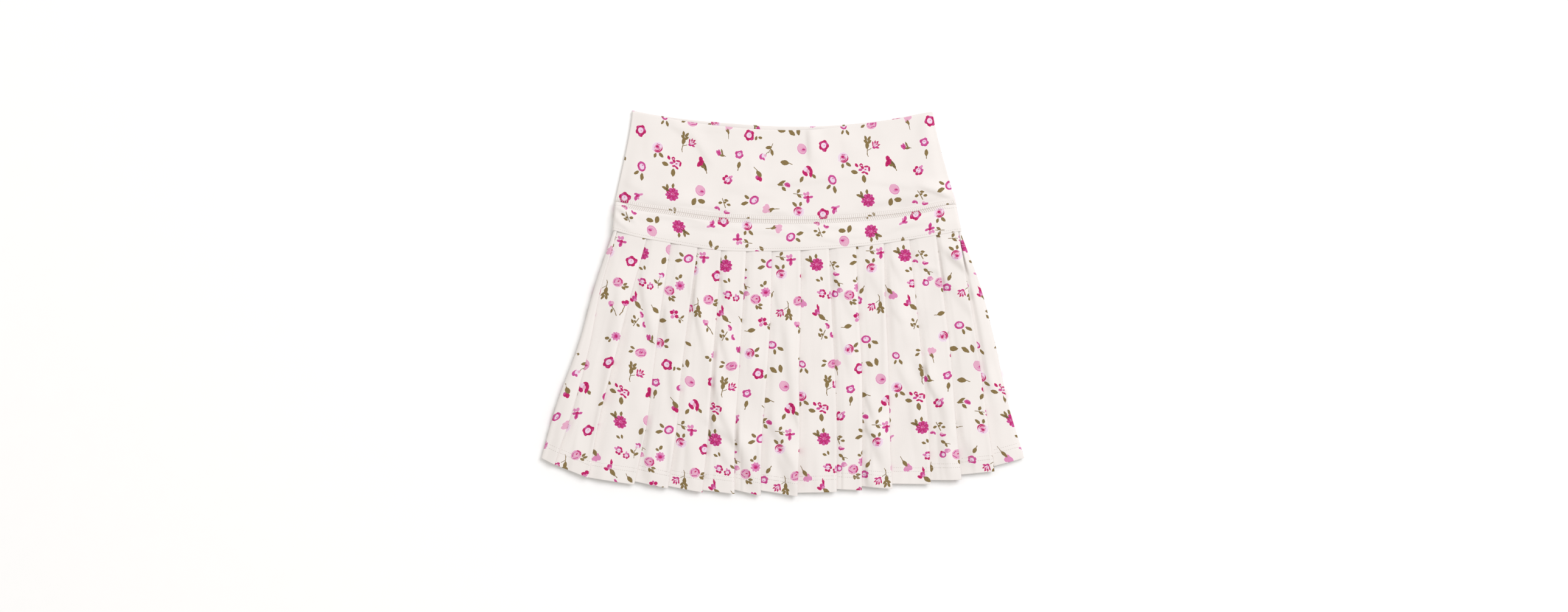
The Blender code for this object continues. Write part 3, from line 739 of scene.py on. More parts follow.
def lay_print(places):
    """Which motif covers each face, and the faces' corners in that motif's own measure.

    places holds the chart's x and y at each corner of each face. Every repeat of every motif
    is tried on the faces near it, and a face goes to the motif whose ink is nearest.
    """
    nearest = np.full(len(places), REACH)
    kind = np.full(len(places), -1)
    local = np.zeros(places.shape)
    middle = places.mean(axis=1)
    low, high = places.min(axis=(0, 1)), places.max(axis=(0, 1))
    names = list(MOTIFS)
    for mx, my, turn, size, name in CHART:
        size = size * DRAWN
        reach = (motif_reach(name) + REACH) * size + 1.5
        c, s = turned(turn)
        for i in repeats(low[0], high[0], mx, reach, REPEAT[0]):
            left = mx + i * REPEAT[0]
            column = np.nonzero(np.abs(middle[:, 0] - left) < reach)[0]
            for j in repeats(low[1], high[1], my, reach, REPEAT[1]):
                top = my + j * REPEAT[1]
                near = column[np.abs(middle[column, 1] - top) < reach]
                if not len(near):
                    continue
                dx, dy = places[near, :, 0] - left, top - places[near, :, 1]
                x, y = (dx * c + dy * s) / size, (dy * c - dx * s) / size
                px, py = (np.hstack([q, q.mean(axis=1, keepdims=True)]) for q in (x, y))
                gap = np.min([dab_distance(dab, px, py) for dab in MOTIFS[name]], axis=0)
                gap = gap.min(axis=1)
                better = gap < nearest[near]
                chosen = near[better]
                nearest[chosen] = gap[better]
                kind[chosen] = names.index(name)
                local[chosen] = np.stack([x[better], y[better]], axis=2)
    return kind, local


# ---------------------------------------------------------------------------------------------
# Materials
# ---------------------------------------------------------------------------------------------

GROUND_PALE = (0.90, 0.86, 0.87, 1.0)  # the cloth close round a motif


def set_inputs(tree, made, values):
    """Gives a node's inputs their values. An output of another node is linked instead."""
    for key, value in values.items():
        if isinstance(value, bpy.types.NodeSocket):
            tree.links.new(value, made.inputs[key])
        else:
            made.inputs[key].default_value = value


def node(tree, kind, x, y, inputs=None, **fields):
    """A shader node at a place in the editor, with its fields and its inputs set."""
    made = tree.nodes.new(kind if kind.startswith("NodeGroup") else "ShaderNode" + kind)
    made.location = (x, y)
    for key, value in fields.items():
        setattr(made, key, value)
    set_inputs(tree, made, inputs or {})
    return made


def maths(tree, operation, x, y, *inputs):
    """A sum's output, from its inputs in order."""
    return node(tree, "Math", x, y, dict(enumerate(inputs)), operation=operation).outputs[0]


def vector_maths(tree, operation, x, y, *inputs):
    """A vector sum's output, from its inputs in order. A length is a number."""
    made = node(tree, "VectorMath", x, y, dict(enumerate(inputs)), operation=operation)
    return made.outputs["Value" if operation == "LENGTH" else "Vector"]


def spread(tree, x, y, value, low, high, least, most, **fields):
    """A value's range from low to high laid over the range from least to most."""
    ends = {"Value": value, "From Min": low, "From Max": high, "To Min": least, "To Max": most}
    return node(tree, "MapRange", x, y, ends, **fields).outputs[0]


def mixed(tree, x, y, factor, first, second, **fields):
    """Two colours mixed."""
    ends = {"Factor": factor, "A": first, "B": second}
    return node(tree, "Mix", x, y, ends, data_type="RGBA", **fields).outputs["Result"]


def noise(tree, x, y, place, scale, detail=2.0):
    """Noise at a place: its outputs."""
    ends = {"Vector": place, "Scale": scale, "Detail": detail}
    return node(tree, "TexNoise", x, y, ends).outputs


def new_group(name, inputs, outputs, x):
    """An empty node group with its sockets, and the outputs of its input node."""
    tree = bpy.data.node_groups.new(name, "ShaderNodeTree")
    for way, sockets in (("INPUT", inputs), ("OUTPUT", outputs)):
        for label, kind in sockets.items():
            tree.interface.new_socket(label, in_out=way, socket_type="NodeSocket" + kind)
    return tree, node(tree, "NodeGroupInput", x, 0).outputs


def new_material(name):
    """A material, its node tree and its shader."""
    material = bpy.data.materials.new(name)
    material.use_nodes = True
    return material, material.node_tree, material.node_tree.nodes["Principled BSDF"]


def knit_group():
    """The knit: fine wales and courses as sine waves, with slow changes of shade."""
    found = bpy.data.node_groups.get("Knit")
    if found:
        return found
    results = {"Shade": "Float", "Height": "Float", "Roughness": "Float"}
    tree, start = new_group("Knit", {"Cloth": "Vector"}, results, -900)
    parts = node(tree, "SeparateXYZ", -700, 0, {0: start["Cloth"]}).outputs
    waves = []
    for axis, pitch, y in (("X", 0.9, 120), ("Y", 0.7, -60)):
        turns = maths(tree, "MULTIPLY", -520, y, parts[axis], 2 * math.pi / (pitch * MM))
        waves.append(maths(tree, "SINE", -340, y, turns))
    fuzz = noise(tree, -340, -260, start["Cloth"], 900.0)["Fac"]
    slow = noise(tree, -340, -480, start["Cloth"], 22.0, 3.0)["Fac"]
    loops = maths(tree, "MULTIPLY_ADD", -160, 40, waves[1], 0.35, waves[0])
    node(tree, "NodeGroupOutput", 700, 0, {
        "Shade": spread(tree, 40, -300, slow, 0.3, 0.7, 0.975, 1.015),
        "Height": maths(tree, "MULTIPLY_ADD", 40, 0, loops, 0.25, fuzz),
        "Roughness": spread(tree, 40, -520, fuzz, 0.3, 0.7, 0.78, 0.9),
    })
    return tree


def dab_group():
    """One dab of ink: its colour goes over what is below where the distance falls to nought."""
    found = bpy.data.node_groups.get("Dab")
    if found:
        return found
    sockets = {"Below": "Color", "Ink": "Color", "Distance": "Float"}
    tree, start = new_group("Dab", sockets, {"Colour": "Color"}, -500)
    cover = spread(
        tree, -240, 0, start["Distance"], INK_EDGE, -INK_EDGE, 0.0, 1.0,
        interpolation_type="SMOOTHSTEP",
    )
    colour = mixed(tree, 0, 0, cover, start["Below"], start["Ink"])
    node(tree, "NodeGroupOutput", 400, 0, {"Colour": colour})
    return tree


def distance_nodes(tree, place, dab, x, y):
    """Nodes for the same distance as dab_distance gives. Returns the output."""
    form, cx, cy, length, width, turn = dab[1:]
    oval = form == "oval"
    at = node(tree, "Mapping", x, y, {
        "Vector": place,
        "Location": (cx, cy, 0.0),
        "Rotation": (0.0, 0.0, math.radians(turn)),
        "Scale": (length, width, 1.0) if oval else (1.0, 1.0, 1.0),
    }, vector_type="TEXTURE").outputs[0]
    if form == "stem":
        line = vector_maths(tree, "MULTIPLY", x + 160, y, at, (1.0, 0.0, 0.0))
        line = vector_maths(tree, "MAXIMUM", x + 240, y, line, (-length, 0.0, 0.0))
        line = vector_maths(tree, "MINIMUM", x + 320, y, line, (length, 0.0, 0.0))
        at = vector_maths(tree, "SUBTRACT", x + 480, y, at, line)
        less = width
    elif form == "leaf":
        radius, sag = leaf_arc(length, width)
        at = vector_maths(tree, "ABSOLUTE", x + 160, y, at)
        at = vector_maths(tree, "ADD", x + 320, y, at, (0.0, sag, 0.0))
        less = radius + TIP[2]
    else:
        less = 1.0
    scale = min(length, width) if oval else 1.0
    away = vector_maths(tree, "LENGTH", x + 640, y, at)
    return maths(tree, "MULTIPLY_ADD", x + 800, y, away, scale, -less * scale)


def motif_group(name, inks):
    """A motif's drawing over the cloth's colour: its dabs in order, inside a paler edge."""
    sockets = {"Cloth Colour": "Color", "Place": "Vector"}
    tree, start = new_group("Motif " + name, sockets, {"Colour": "Color"}, -1600)
    place = start["Place"]
    wobble = noise(tree, -1400, -200, place, 0.42, 1.0)["Color"]
    wobble = vector_maths(tree, "SUBTRACT", -1220, -200, wobble, (0.5, 0.5, 0.5))
    moved = vector_maths(tree, "MULTIPLY_ADD", -1040, 0, wobble, (1.1, 1.1, 0.0), place)
    dabs = MOTIFS[name]
    edges = [distance_nodes(tree, moved, dab, -800, -260 * i) for i, dab in enumerate(dabs)]
    nearest = edges[0]
    for i, edge in enumerate(edges[1:]):
        nearest = maths(tree, "MINIMUM", 300, -260 * i, nearest, edge)
    paler = spread(
        tree, 480, 200, nearest, HALO, 0.3, 0.0, 0.3, interpolation_type="SMOOTHSTEP"
    )
    ground = mixed(tree, 660, 200, paler, start["Cloth Colour"], GROUND_PALE)
    colour = ground
    for i, (dab, edge) in enumerate(zip(dabs, edges, strict=True)):
        ends = {"Below": colour, "Ink": (*inks[dab[0]], 1.0), "Distance": edge}
        made = node(tree, "Group", 860 + 180 * i, 0, ends, node_tree=dab_group())
        colour = made.outputs["Colour"]
    dry = noise(tree, 860, -300, place, 1.3, 3.0)["Fac"]
    worn = spread(tree, 1060, -300, dry, 0.5, 0.8, 0.0, 0.16)
    end = 1100 + 180 * len(dabs)
    colour = mixed(tree, end, 0, worn, colour, ground)
    node(tree, "NodeGroupOutput", end + 200, 0, {"Colour": colour})
    return tree


def knit_material(name, colour, motif=None, inks=None):
    """Printed or plain knit: the knit group's shade, bump and roughness, and one motif or none."""
    found = bpy.data.materials.get(name)
    if found:
        return found
    material, tree, shader = new_material(name)
    cloth = node(tree, "UVMap", -1100, 0, uv_map="cloth").outputs["UV"]
    knit = node(tree, "Group", -900, 0, {"Cloth": cloth}, node_tree=knit_group()).outputs
    paint = mixed(tree, -700, 200, 1.0, (*colour, 1.0), knit["Shade"], blend_type="MULTIPLY")
    if motif:
        place = node(tree, "UVMap", -700, -200, uv_map="motif").outputs["UV"]
        ends = {"Cloth Colour": paint, "Place": place}
        drawing = node(tree, "Group", -400, 100, ends, node_tree=motif_group(motif, inks))
        paint = drawing.outputs["Colour"]
    bump = {"Strength": 0.22, "Distance": 0.12 * MM, "Height": knit["Height"]}
    set_inputs(tree, shader, {
        "Base Color": paint,
        "Normal": node(tree, "Bump", -300, -300, bump).outputs[0],
        "Roughness": knit["Roughness"],
        "Sheen Weight": 0.06,
        "Sheen Roughness": 0.5,
        "Specular IOR Level": 0.12,
    })
    return material


def thread_material(name, colour):
    """Sewing thread, its fibres uneven in shade and height by a fine noise."""
    found = bpy.data.materials.get(name)
    if found:
        return found
    material, tree, shader = new_material(name)
    place = node(tree, "TexCoord", -900, 0).outputs["Object"]
    fibre = noise(tree, -700, 0, place, 1500.0)["Fac"]
    dark = (*(np.array(colour) * 0.86), 1.0)
    bump = {"Strength": 0.4, "Distance": 0.05 * MM, "Height": fibre}
    set_inputs(tree, shader, {
        "Base Color": mixed(tree, -400, 100, fibre, dark, (*colour, 1.0)),
        "Normal": node(tree, "Bump", -300, -300, bump).outputs[0],
        "Roughness": 0.6,
        "Sheen Weight": 0.2,
    })
    return material


# ---------------------------------------------------------------------------------------------
# Cloth shells
# ---------------------------------------------------------------------------------------------

BAKE_EDGE = 0.004
BAKE_WIDTH = 0.992
BAKE_TOP = (0.996, 0.86)  # the top of the outer sheet's part, and how far down it runs
BAKE_STRIP = (0.125, 0.1)  # the same for the inner sheet's strip
BAKE_RIM = (0.9, 0.012)  # a rim face's share of its place, and the height of the rims' strip
RIM_LEAST = 0.28  # the share of the thickness left at the very edge


def headings(grid, axis):
    """At each point of a grid, the sum of the unit steps to it and from it along one axis."""
    grid = np.moveaxis(grid, axis, 0)
    step = np.diff(grid, axis=0)
    step /= np.linalg.norm(step, axis=2, keepdims=True)
    both = np.concatenate([step[:1], step]) + np.concatenate([step, step[-1:]])
    return np.moveaxis(both, 0, axis)


def normals(centre):
    """Unit normals of a grid: the cross product of its mean direction down and across."""
    out = np.cross(headings(centre, 0), headings(centre, 1))
    return out / np.linalg.norm(out, axis=2, keepdims=True)


def quads(p, q, r, s):
    """Faces of four corners from four arrays of point numbers."""
    return np.stack([p, q, r, s], axis=-1).reshape(-1, 4)


def add_mesh(name, points, faces, materials):
    """An object with smooth shading from points in millimetres, moved onto the frame's origin."""
    points = points.reshape(-1, 3).copy()
    points[:, :2] -= BOX_MIDDLE
    mesh = bpy.data.meshes.new(name)
    mesh.from_pydata((points * MM).tolist(), [], faces)
    mesh.polygons.foreach_set("use_smooth", np.ones(len(faces), dtype=bool))
    for material in materials:
        mesh.materials.append(material)
    made = bpy.data.objects.new(name, mesh)
    bpy.context.scene.collection.objects.link(made)
    return made


def add_map(mesh, name, places):
    """A map of the faces' corners, from an array of faces by corners by two."""
    layer = mesh.uv_layers.new(name=name)
    layer.data.foreach_set("uv", places.reshape(-1).astype(np.float32))


def shell(name, centre, half, fabric, materials):
    """A closed cloth shell round a grid of centre points.

    Every point goes half the cloth's thickness along its normal to either side, and four rims
    join the two sheets. fabric is the cloth's own x and y at each point. Returns the object,
    its faces, their corners on the cloth and the outer sheet.
    """
    rows, columns = centre.shape[:2]
    out = normals(centre) * half[:, :, None]
    a = np.arange(rows * columns).reshape(rows, columns)
    b = a + rows * columns
    faces = np.concatenate([
        quads(a[:-1, :-1], a[1:, :-1], a[1:, 1:], a[:-1, 1:]),
        quads(b[:-1, :-1], b[:-1, 1:], b[1:, 1:], b[1:, :-1]),
        quads(a[:-1, 0], b[:-1, 0], b[1:, 0], a[1:, 0]),
        quads(a[:-1, -1], a[1:, -1], b[1:, -1], b[:-1, -1]),
        quads(a[0, :-1], a[0, 1:], b[0, 1:], b[0, :-1]),
        quads(a[-1, :-1], b[-1, :-1], b[-1, 1:], a[-1, 1:]),
    ])
    made = add_mesh(name, np.stack([centre + out, centre - out]), faces.tolist(), materials)
    places = np.concatenate([fabric.reshape(-1, 2)] * 2)[faces]
    add_map(made.data, "cloth", places * MM)
    return made, faces, places, centre + out


def printed_shell(name, centre, half, fabric, weight, both_sides, sizes):
    """A cloth shell with the print on its outer sheet, and on its inner one too if both_sides.

    weight is each column's share of the map for baking. A face lies in its motif's own
    material, or in the plain ground's. Returns the object and the outer sheet.
    """
    ground = knit_material("Printed knit ground", sizes["ground"])
    made, faces, places, sheet = shell(name, centre, half, fabric, [ground])
    rows, columns = centre.shape[:2]
    count = (rows - 1) * (columns - 1)
    printed = count * 2 if both_sides else count
    kind = np.full(len(faces), -1)
    local = np.zeros((len(faces), 4, 2))
    kind[:printed], local[:printed] = lay_print(places[:printed])
    mesh = made.data
    add_map(mesh, "motif", local)
    add_map(mesh, "OFBake", bake_places(rows, columns, weight, faces))
    used = np.unique(kind[kind >= 0])
    for motif in [list(MOTIFS)[k] for k in used]:
        paint = knit_material("Printed knit " + motif, sizes["ground"], motif, sizes["inks"])
        mesh.materials.append(paint)
    index = np.where(kind < 0, 0, np.searchsorted(used, kind) + 1)
    mesh.polygons.foreach_set("material_index", index.astype(np.int32))
    mesh.update()
    return made, sheet


def bake_places(rows, columns, weight, faces):
    """A map for baking: the outer sheet fills most of it, and the inner sheet and rims a strip."""
    across = np.concatenate([[0.0], np.cumsum((weight[1:] + weight[:-1]) / 2)])
    across /= across[-1]
    down = np.linspace(0.0, 1.0, rows)
    u = BAKE_EDGE + BAKE_WIDTH * np.broadcast_to(across[None, :], (rows, columns))
    v = np.broadcast_to(down[:, None], (rows, columns))
    top = np.stack([u, BAKE_TOP[0] - BAKE_TOP[1] * v], axis=2).reshape(-1, 2)
    strip = np.stack([u, BAKE_STRIP[0] - BAKE_STRIP[1] * v], axis=2).reshape(-1, 2)
    places = np.concatenate([top, strip])[faces]
    sheets = 2 * (rows - 1) * (columns - 1)
    count = len(faces) - sheets
    share = np.arange(count)[:, None] / count
    ahead = np.array([0.0, 0.0, 1.0, 1.0]) * BAKE_RIM[0] / count
    places[sheets:, :, 0] = BAKE_EDGE + BAKE_WIDTH * share + ahead
    places[sheets:, :, 1] = BAKE_EDGE + np.array([0.0, 1.0, 1.0, 0.0]) * BAKE_RIM[1]
    return places


def rim_profile(distance, radius):
    """Share of the full thickness near an edge: a quarter circle over the radius, cut short."""
    t = np.clip(distance / radius, 0.0, 1.0)
    return np.sqrt(np.clip(1.0 - (1.0 - t) ** 2, 0.0, 1.0)) * (1.0 - RIM_LEAST) + RIM_LEAST


# ---------------------------------------------------------------------------------------------
# Pleated ribbon
# ---------------------------------------------------------------------------------------------

UNDER, RETURN, FACE = 0.0, 1.0, 2.0  # the three layers of a pleat
LAYER = 0.95  # from the middle of one layer of the folded cloth to that of the next
FOLD_CLOTH = 67.8  # cloth used up by each pleat, from one fold to the next
PLEAT_DEPTH = 19.0
LEAST_FACE = 5.0  # how much wider than its fold a face stays
FOOT = 0.5  # from the edge above to a face's foot
CREST = 1.0  # how far past the fold's depth a face is level again
# How a face rises: shares of its slope, then the slope's shares and levels at the yoke and hem
RISE = (0.0, 0.07, 0.17, 0.30, 0.45, 0.60, 0.74, 0.87, 1.0)
RISE_KNOTS = ((0.0, 0.2, 0.5, 0.8, 1.0), (0.0, 0.45, 1.04, 1.52, 1.95))
HEM_KNOTS = ((0.0, 0.2, 0.5, 0.8, 1.0), (0.0, 0.35, 0.60, 0.95, 2.05))
PRESSED = (0.8, 0.12, 0.0)  # the fade from the yoke's slope to the hem's, in shares of the drop
TABLE_SHARES = (0.10, 0.24, 0.40, 0.56, 0.70, 0.79, 0.845, 0.895, 0.945, 1.0)
SAG, ARCH = 0.05, 0.12  # a face's fall towards its crest, and its arch
FOLD_ROLL = (0.3, 2.9, 1.2)  # the soft roll beside a fold: height, distance from it, width
ROLL_CHANGE = (0.7, 0.5, 2.4, 5.0)  # its mean share, swing, and change by fold and height
BEND = (45.0, 90.0, 135.0)

# The turn of the cloth at the garment's sides, in degrees, and the faces beside it
SIDE_TURN = (0.0, 18.0, 36.0, 54.0, 72.0)
SIDE_REACH = 3.2  # how far the turn runs into a face
SIDE_INSET = 0.45  # from the garment's side to the middle of its cloth
SIDE_CLOTH = 2.0  # cloth used up by the turn
SIDE_DEPTH = 0.6
RETURN_SHARE = 0.12  # a hidden column's share of the map for baking, where a face's is 1
SIDE_CLEAR = 1.3
SIDE_GAP = 0.2  # from the gap between the panels to the middle of the cloth
SIDE_DROP = 1.2  # how far below the other faces the left one starts, in layers
FIRST_FACE = (0.0, 0.15, 0.3, 0.5, 0.7, 0.85, 1.0)
LAST_FACE = (0.0, 0.08, 0.2, 0.35, 0.5, 0.65, 0.8, 0.9, 1.0)
LAST_ARCH = 0.55

HEM_DOUBLE = 0.25  # how much thicker the cloth is below the hem's stitching
HEM_DENT = (0.06, 0.8)  # how deep and wide a row of stitches presses it in
HEM_ROUND = 0.6


def fold_lines(folds, rows):
    """Fold edges at distances below the yoke: an array of rows by folds by X and Y."""
    v = np.asarray(rows) / SKIRT_DROP
    lines = []
    for fold in folds:
        x = smooth(v, FOLD_STATIONS, fold[:5])
        y = fold[5] + (fold[6] - fold[5]) * v
        lines.append(np.stack([x, y], axis=1))
    return np.stack(lines, axis=1), v


def ribbon(folds, rows, inner, meet, out, thick, bumps):
    """Centre points of a knife-pleated ribbon, with its cloth's length at each point.

    A face rises from under the fold on its left to its own fold, where it turns in a half
    circle into the return. That runs back below it and turns in a half circle into the next
    face's foot. A point of a turn is its middle + radius × (cosine, sine). At the garment's
    two sides the cloth turns in a quarter of an oval down to where the two panels meet.
    bumps gives the relief at places on a face. Each point also has its column's share of the
    map for baking and its part: face, bend, return or edge.
    """
    lines, v = fold_lines(folds, rows)
    shifts = [np.stack([0 * v, fold[7] * np.maximum(v, 0.0)], axis=1) for fold in folds]
    half = KNIT / 2
    radius = LAYER / 2
    turn = radius + thick / 2
    pressed = fade(v, PRESSED)
    end_z = meet + out * (SEAM / 2 + SIDE_GAP)
    places, cloth, weight, kinds = [], [], [], []

    def height(level, lift=0.0):
        """Z of a level of the fold: its share of the layers above the under one, plus lift."""
        return inner + out * (half + FACE * PITCH - (FACE - level) * LAYER + lift)

    def put(xy, z, length, share, kind):
        """Adds one column of points."""
        places.append(np.stack([xy[:, 0], xy[:, 1], z], axis=1))
        cloth.append(length + 0 * v)
        weight.append(share)
        kinds.append(kind)

    def put_side(at, edge, reach, way, top, length, angles):
        """The turn at a side: way is 1 where faces run in from the left and −1 on the right."""
        for angle in angles:
            c, s = turned(angle)
            used = length + way * SIDE_CLOTH - way * SIDE_CLOTH * s
            put(at(edge + way * reach * (1.0 - c)), end_z + (top - end_z) * s, used, 0.5, "edge")

    for k in range(1, len(folds)):
        start, fold = lines[:, k - 1] + shifts[k - 1], lines[:, k]
        width = np.linalg.norm(fold - start, axis=1)

        def at(distance, start=start, fold=fold, width=width):
            """The place on this face at a distance left of its fold."""
            return fold + (start - fold) * (distance / width)[:, None]

        base = FOLD_CLOTH * (k - 1)
        depth = np.minimum(PLEAT_DEPTH, width - LEAST_FACE)
        foot = width - FOOT
        if k == 1:
            depth = np.minimum(width * SIDE_DEPTH, width - SIDE_CLEAR)
            edge = width - SIDE_INSET
            reach = np.minimum(SIDE_REACH, (edge - turn) * 0.7)
            low = FACE - SIDE_DROP * np.clip(v, 0.0, 1.0)
            put_side(at, edge, reach, -1, height(low), base - edge, SIDE_TURN)
            for share in FIRST_FACE:
                a = (edge - reach) + (turn - (edge - reach)) * share
                level = low + (FACE - low) * fade(share, FIRST_LEVEL_FADE)
                xy = at(a)
                shown = FIRST_CREASE_LEAST + (1.0 - FIRST_CREASE_LEAST) * share
                lift = bumps(xy[:, 0], xy[:, 1]) * shown
                put(xy, height(level, lift), base - a, 1.0, "face")
        elif k == len(folds) - 1:
            edge = SIDE_INSET + 0 * v
            reach = np.minimum(SIDE_REACH, (foot - edge) * 0.5)
            for share in LAST_FACE:
                a = foot + (edge + reach - foot) * share
                xy = at(a)
                lift = bumps(xy[:, 0], xy[:, 1]) * fade(share, LAST_CREASE_FADE)
                level = UNDER + LAST_ARCH * math.sin(math.pi * share) ** 2
                put(xy, height(level, lift), base - a, 1.0, "face")
            put_side(at, edge, reach, 1, height(UNDER), base, SIDE_TURN[::-1])
            break
        else:
            crest = depth + CREST
            for q in RISE:
                a = foot + (crest - foot) * q
                xy = at(a)
                lift = bumps(xy[:, 0], xy[:, 1]) * fade(q, RISE_CREASE_FADE)
                level = smooth(q, *RISE_KNOTS) * (1 - pressed) + smooth(q, *HEM_KNOTS) * pressed
                put(xy, height(level, lift), base - a, 1.0, "face")
            mean, swing, by_fold, by_height = ROLL_CHANGE
            roll = FOLD_ROLL[0] * (mean + swing * np.sin(by_fold * k + by_height * v))
            for share in TABLE_SHARES:
                a = crest + (turn - crest) * share
                xy = at(a)
                level = FACE - SAG * (1.0 - share) + ARCH * math.sin(math.pi * share)
                level = level + roll * dent(a - FOLD_ROLL[1], FOLD_ROLL[2])
                put(xy, height(level, bumps(xy[:, 0], xy[:, 1])), base - a, 1.0, "face")
        bulge = bumps(fold[:, 0], fold[:, 1])
        back = shifts[k]
        next_width = np.linalg.norm(lines[:, k + 1] - fold - back, axis=1)
        tucked = (FOLD_CLOTH - next_width) / 2
        bottom = depth - half - radius
        for angle in BEND:
            c, s = turned(angle)
            length = base - turn + 2 * turn * angle / 180.0
            z = height((FACE + RETURN + c) / 2, bulge * (1.0 + c) / 2)
            put(at(turn - radius * s), z, length, 0.5, "bend")
        for share in (0.0, 0.5):
            xy = at(turn + (bottom - turn) * share) + back * share
            length = base + turn + (tucked - turn) * share
            put(xy, height(RETURN), length, RETURN_SHARE, "return")
        for angle in (0.0, 90.0, 180.0):
            c, s = turned(angle)
            length = base + tucked + angle / 180.0
            z = height((RETURN + UNDER + c) / 2)
            put(at(bottom + radius * s) + back, z, length, RETURN_SHARE, "return")
        for share in (0.5, 0.88):
            length = base + tucked + 1.0 + (tucked - 1.0) * share
            place = at(bottom * (1.0 - share)) + back
            put(place, height(UNDER), length, RETURN_SHARE, "return")
    return np.stack(places, axis=1), np.stack(cloth, axis=1), np.array(weight), np.array(kinds)


def back_folds():
    """The back's fold table, seen from behind: even folds between the front's side edges."""
    left, right = FRONT_FOLDS[-1], FRONT_FOLDS[0]
    mirrored = [(*(-x for x in side[:5]), *side[5:7], 0.0) for side in (left, right)]
    folds = []
    for share in np.linspace(BACK_FIRST, BACK_LAST, BACK_PLEATS):
        x = [-a + (a - b) * share for a, b in zip(left[:5], right[:5], strict=True)]
        top = float(cross_height("yoke_edge", 1.0 - share))
        hem = float(cross_height("back_hem", 1.0 - share)) - BACK_STEP
        folds.append((*x, top, hem, BACK_STEP))
    return (mirrored[0], *folds, mirrored[1])


def skirt_rows(spacing, hem):
    """Distances below the yoke: close together at the edges and along the two hem rows."""
    top = [-TUCK, -4.0, -2.0, -0.4, 1.0]
    middle = np.arange(2.5, SKIRT_DROP - hem - HEM_GAP, spacing)
    rows = np.array([-3.0, -1.3, -0.5, 0.0, 0.5, 1.3, 2.7, 3.5, 4.0, 4.5, 5.3])
    edge = np.array([10.0, 7.5, 5.0, 3.0, 1.6, 0.8, 0.35, 0.1, 0.0])
    return np.concatenate([top, middle, SKIRT_DROP - hem + rows, SKIRT_DROP - edge])


def hem_wall(rows, columns, thickness, hem):
    """Half the thickness at each row: a quarter more below the hem's stitching, dented along
    each of its two rows by exp(−t²), and rounded at the edge."""
    above = SKIRT_DROP - rows
    wall = thickness * (1.0 + HEM_DOUBLE * ease((hem + 1.0 - above) / 2.0))
    for row in (hem, hem - HEM_GAP):
        wall = wall - HEM_DENT[0] * dent(above - row, HEM_DENT[1])
    wall = wall * rim_profile(above, HEM_ROUND)
    return np.broadcast_to((wall / 2)[:, None], (len(rows), columns)).copy()


# ---------------------------------------------------------------------------------------------
# Stitches
# ---------------------------------------------------------------------------------------------

TIP_SHARE = 0.16  # how much of a stitch each of its two tips takes
FLATNESS = 0.5  # a thread's height as a share of its width
# Painted shade: the thread in a needle hole is darkened by this share, standing in for the hole's
# shadow
HOLE_PAINTED_SHADE = 0.72
# A stitch and the hole after it: start and end in pitches, depth and radius in thread radii
TOP_STITCH = (0.0, 0.76, 0.4, 1.15)
HOLE = (0.70, 1.06, 0.5, 1.9)


def sample(grid, row, column):
    """Points of a grid at fractional rows and columns, from the four points round each."""
    i = np.clip(np.floor(row).astype(int), 0, grid.shape[0] - 2)
    j = np.clip(np.floor(column).astype(int), 0, grid.shape[1] - 2)
    r, c = (row - i)[:, None], (column - j)[:, None]
    top = grid[i, j] * (1 - c) + grid[i, j + 1] * c
    low = grid[i + 1, j] * (1 - c) + grid[i + 1, j + 1] * c
    return top * (1 - r) + low * r


def stitches(name, runs, colour):
    """Short thread spindles from start to end: two tips and two rings of five points each.

    A ring's point is the stitch's point + radius × (cos t × side + half of sin t × up), where
    side and up are square to the stitch. Each run is its starts, its ends, its radius and
    whether it lies in a needle hole, where the thread's colour is darkened as painted shade.
    """
    start, end = (np.concatenate([run[i] for run in runs]) for i in (0, 1))
    radius, dark = (
        np.concatenate([np.full(len(run[0]), run[i]) for run in runs]) for i in (2, 3)
    )
    along = end - start
    length = np.linalg.norm(along, axis=1, keepdims=True)
    along = along / length
    side = np.cross(along, [0.0, 0.0, 1.0])
    side /= np.linalg.norm(side, axis=1, keepdims=True)
    up = np.cross(side, along)
    t = math.pi / 2 + np.arange(5) * 2 * math.pi / 5
    c, s = np.cos(t)[None, :, None], np.sin(t)[None, :, None]
    ring = (c * side[:, None, :] + FLATNESS * s * up[:, None, :]) * radius[:, None, None]
    inset = along * length * TIP_SHARE
    near, far = (start + inset)[:, None, :] + ring, (end - inset)[:, None, :] + ring
    points = np.concatenate([start[:, None, :], near, far, end[:, None, :]], axis=1)
    n = np.arange(5)
    m = (n + 1) % 5
    first = (np.arange(len(start)) * 12)[:, None, None]
    cap = np.stack([0 * n, 1 + m, 1 + n], axis=1) + first
    tail = np.stack([0 * n + 11, 6 + n, 6 + m], axis=1) + first
    body = np.stack([1 + n, 1 + m, 6 + m, 6 + n], axis=1) + first
    faces = np.concatenate([cap.reshape(-1, 3), tail.reshape(-1, 3)]).tolist()
    faces += body.reshape(-1, 4).tolist()
    # The second material is painted shade: the thread darkened where it dives into its needle hole
    materials = (
        thread_material("Thread", colour),
        thread_material("Thread with painted hole shade", tuple(HOLE_PAINTED_SHADE * part for part in colour)),
    )
    made = add_mesh(name, points, faces, materials)
    index = np.tile(np.repeat(dark.astype(np.int32), 5), 3)
    made.data.polygons.foreach_set("material_index", index)
    made.data.update()
    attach(made, BODY)
    return made


def path_lengths(path):
    """How far along a path each of its points lies."""
    return np.concatenate([[0.0], np.cumsum(np.linalg.norm(np.diff(path, axis=0), axis=1))])


def path_at(path, distance):
    """Places at distances along a path."""
    gone = path_lengths(path)
    return np.stack([np.interp(distance, gone, path[:, i]) for i in range(3)], axis=1)


def even(path, count):
    """A path's points spaced evenly along it."""
    return path_at(path, np.linspace(0.0, path_lengths(path)[-1], count))


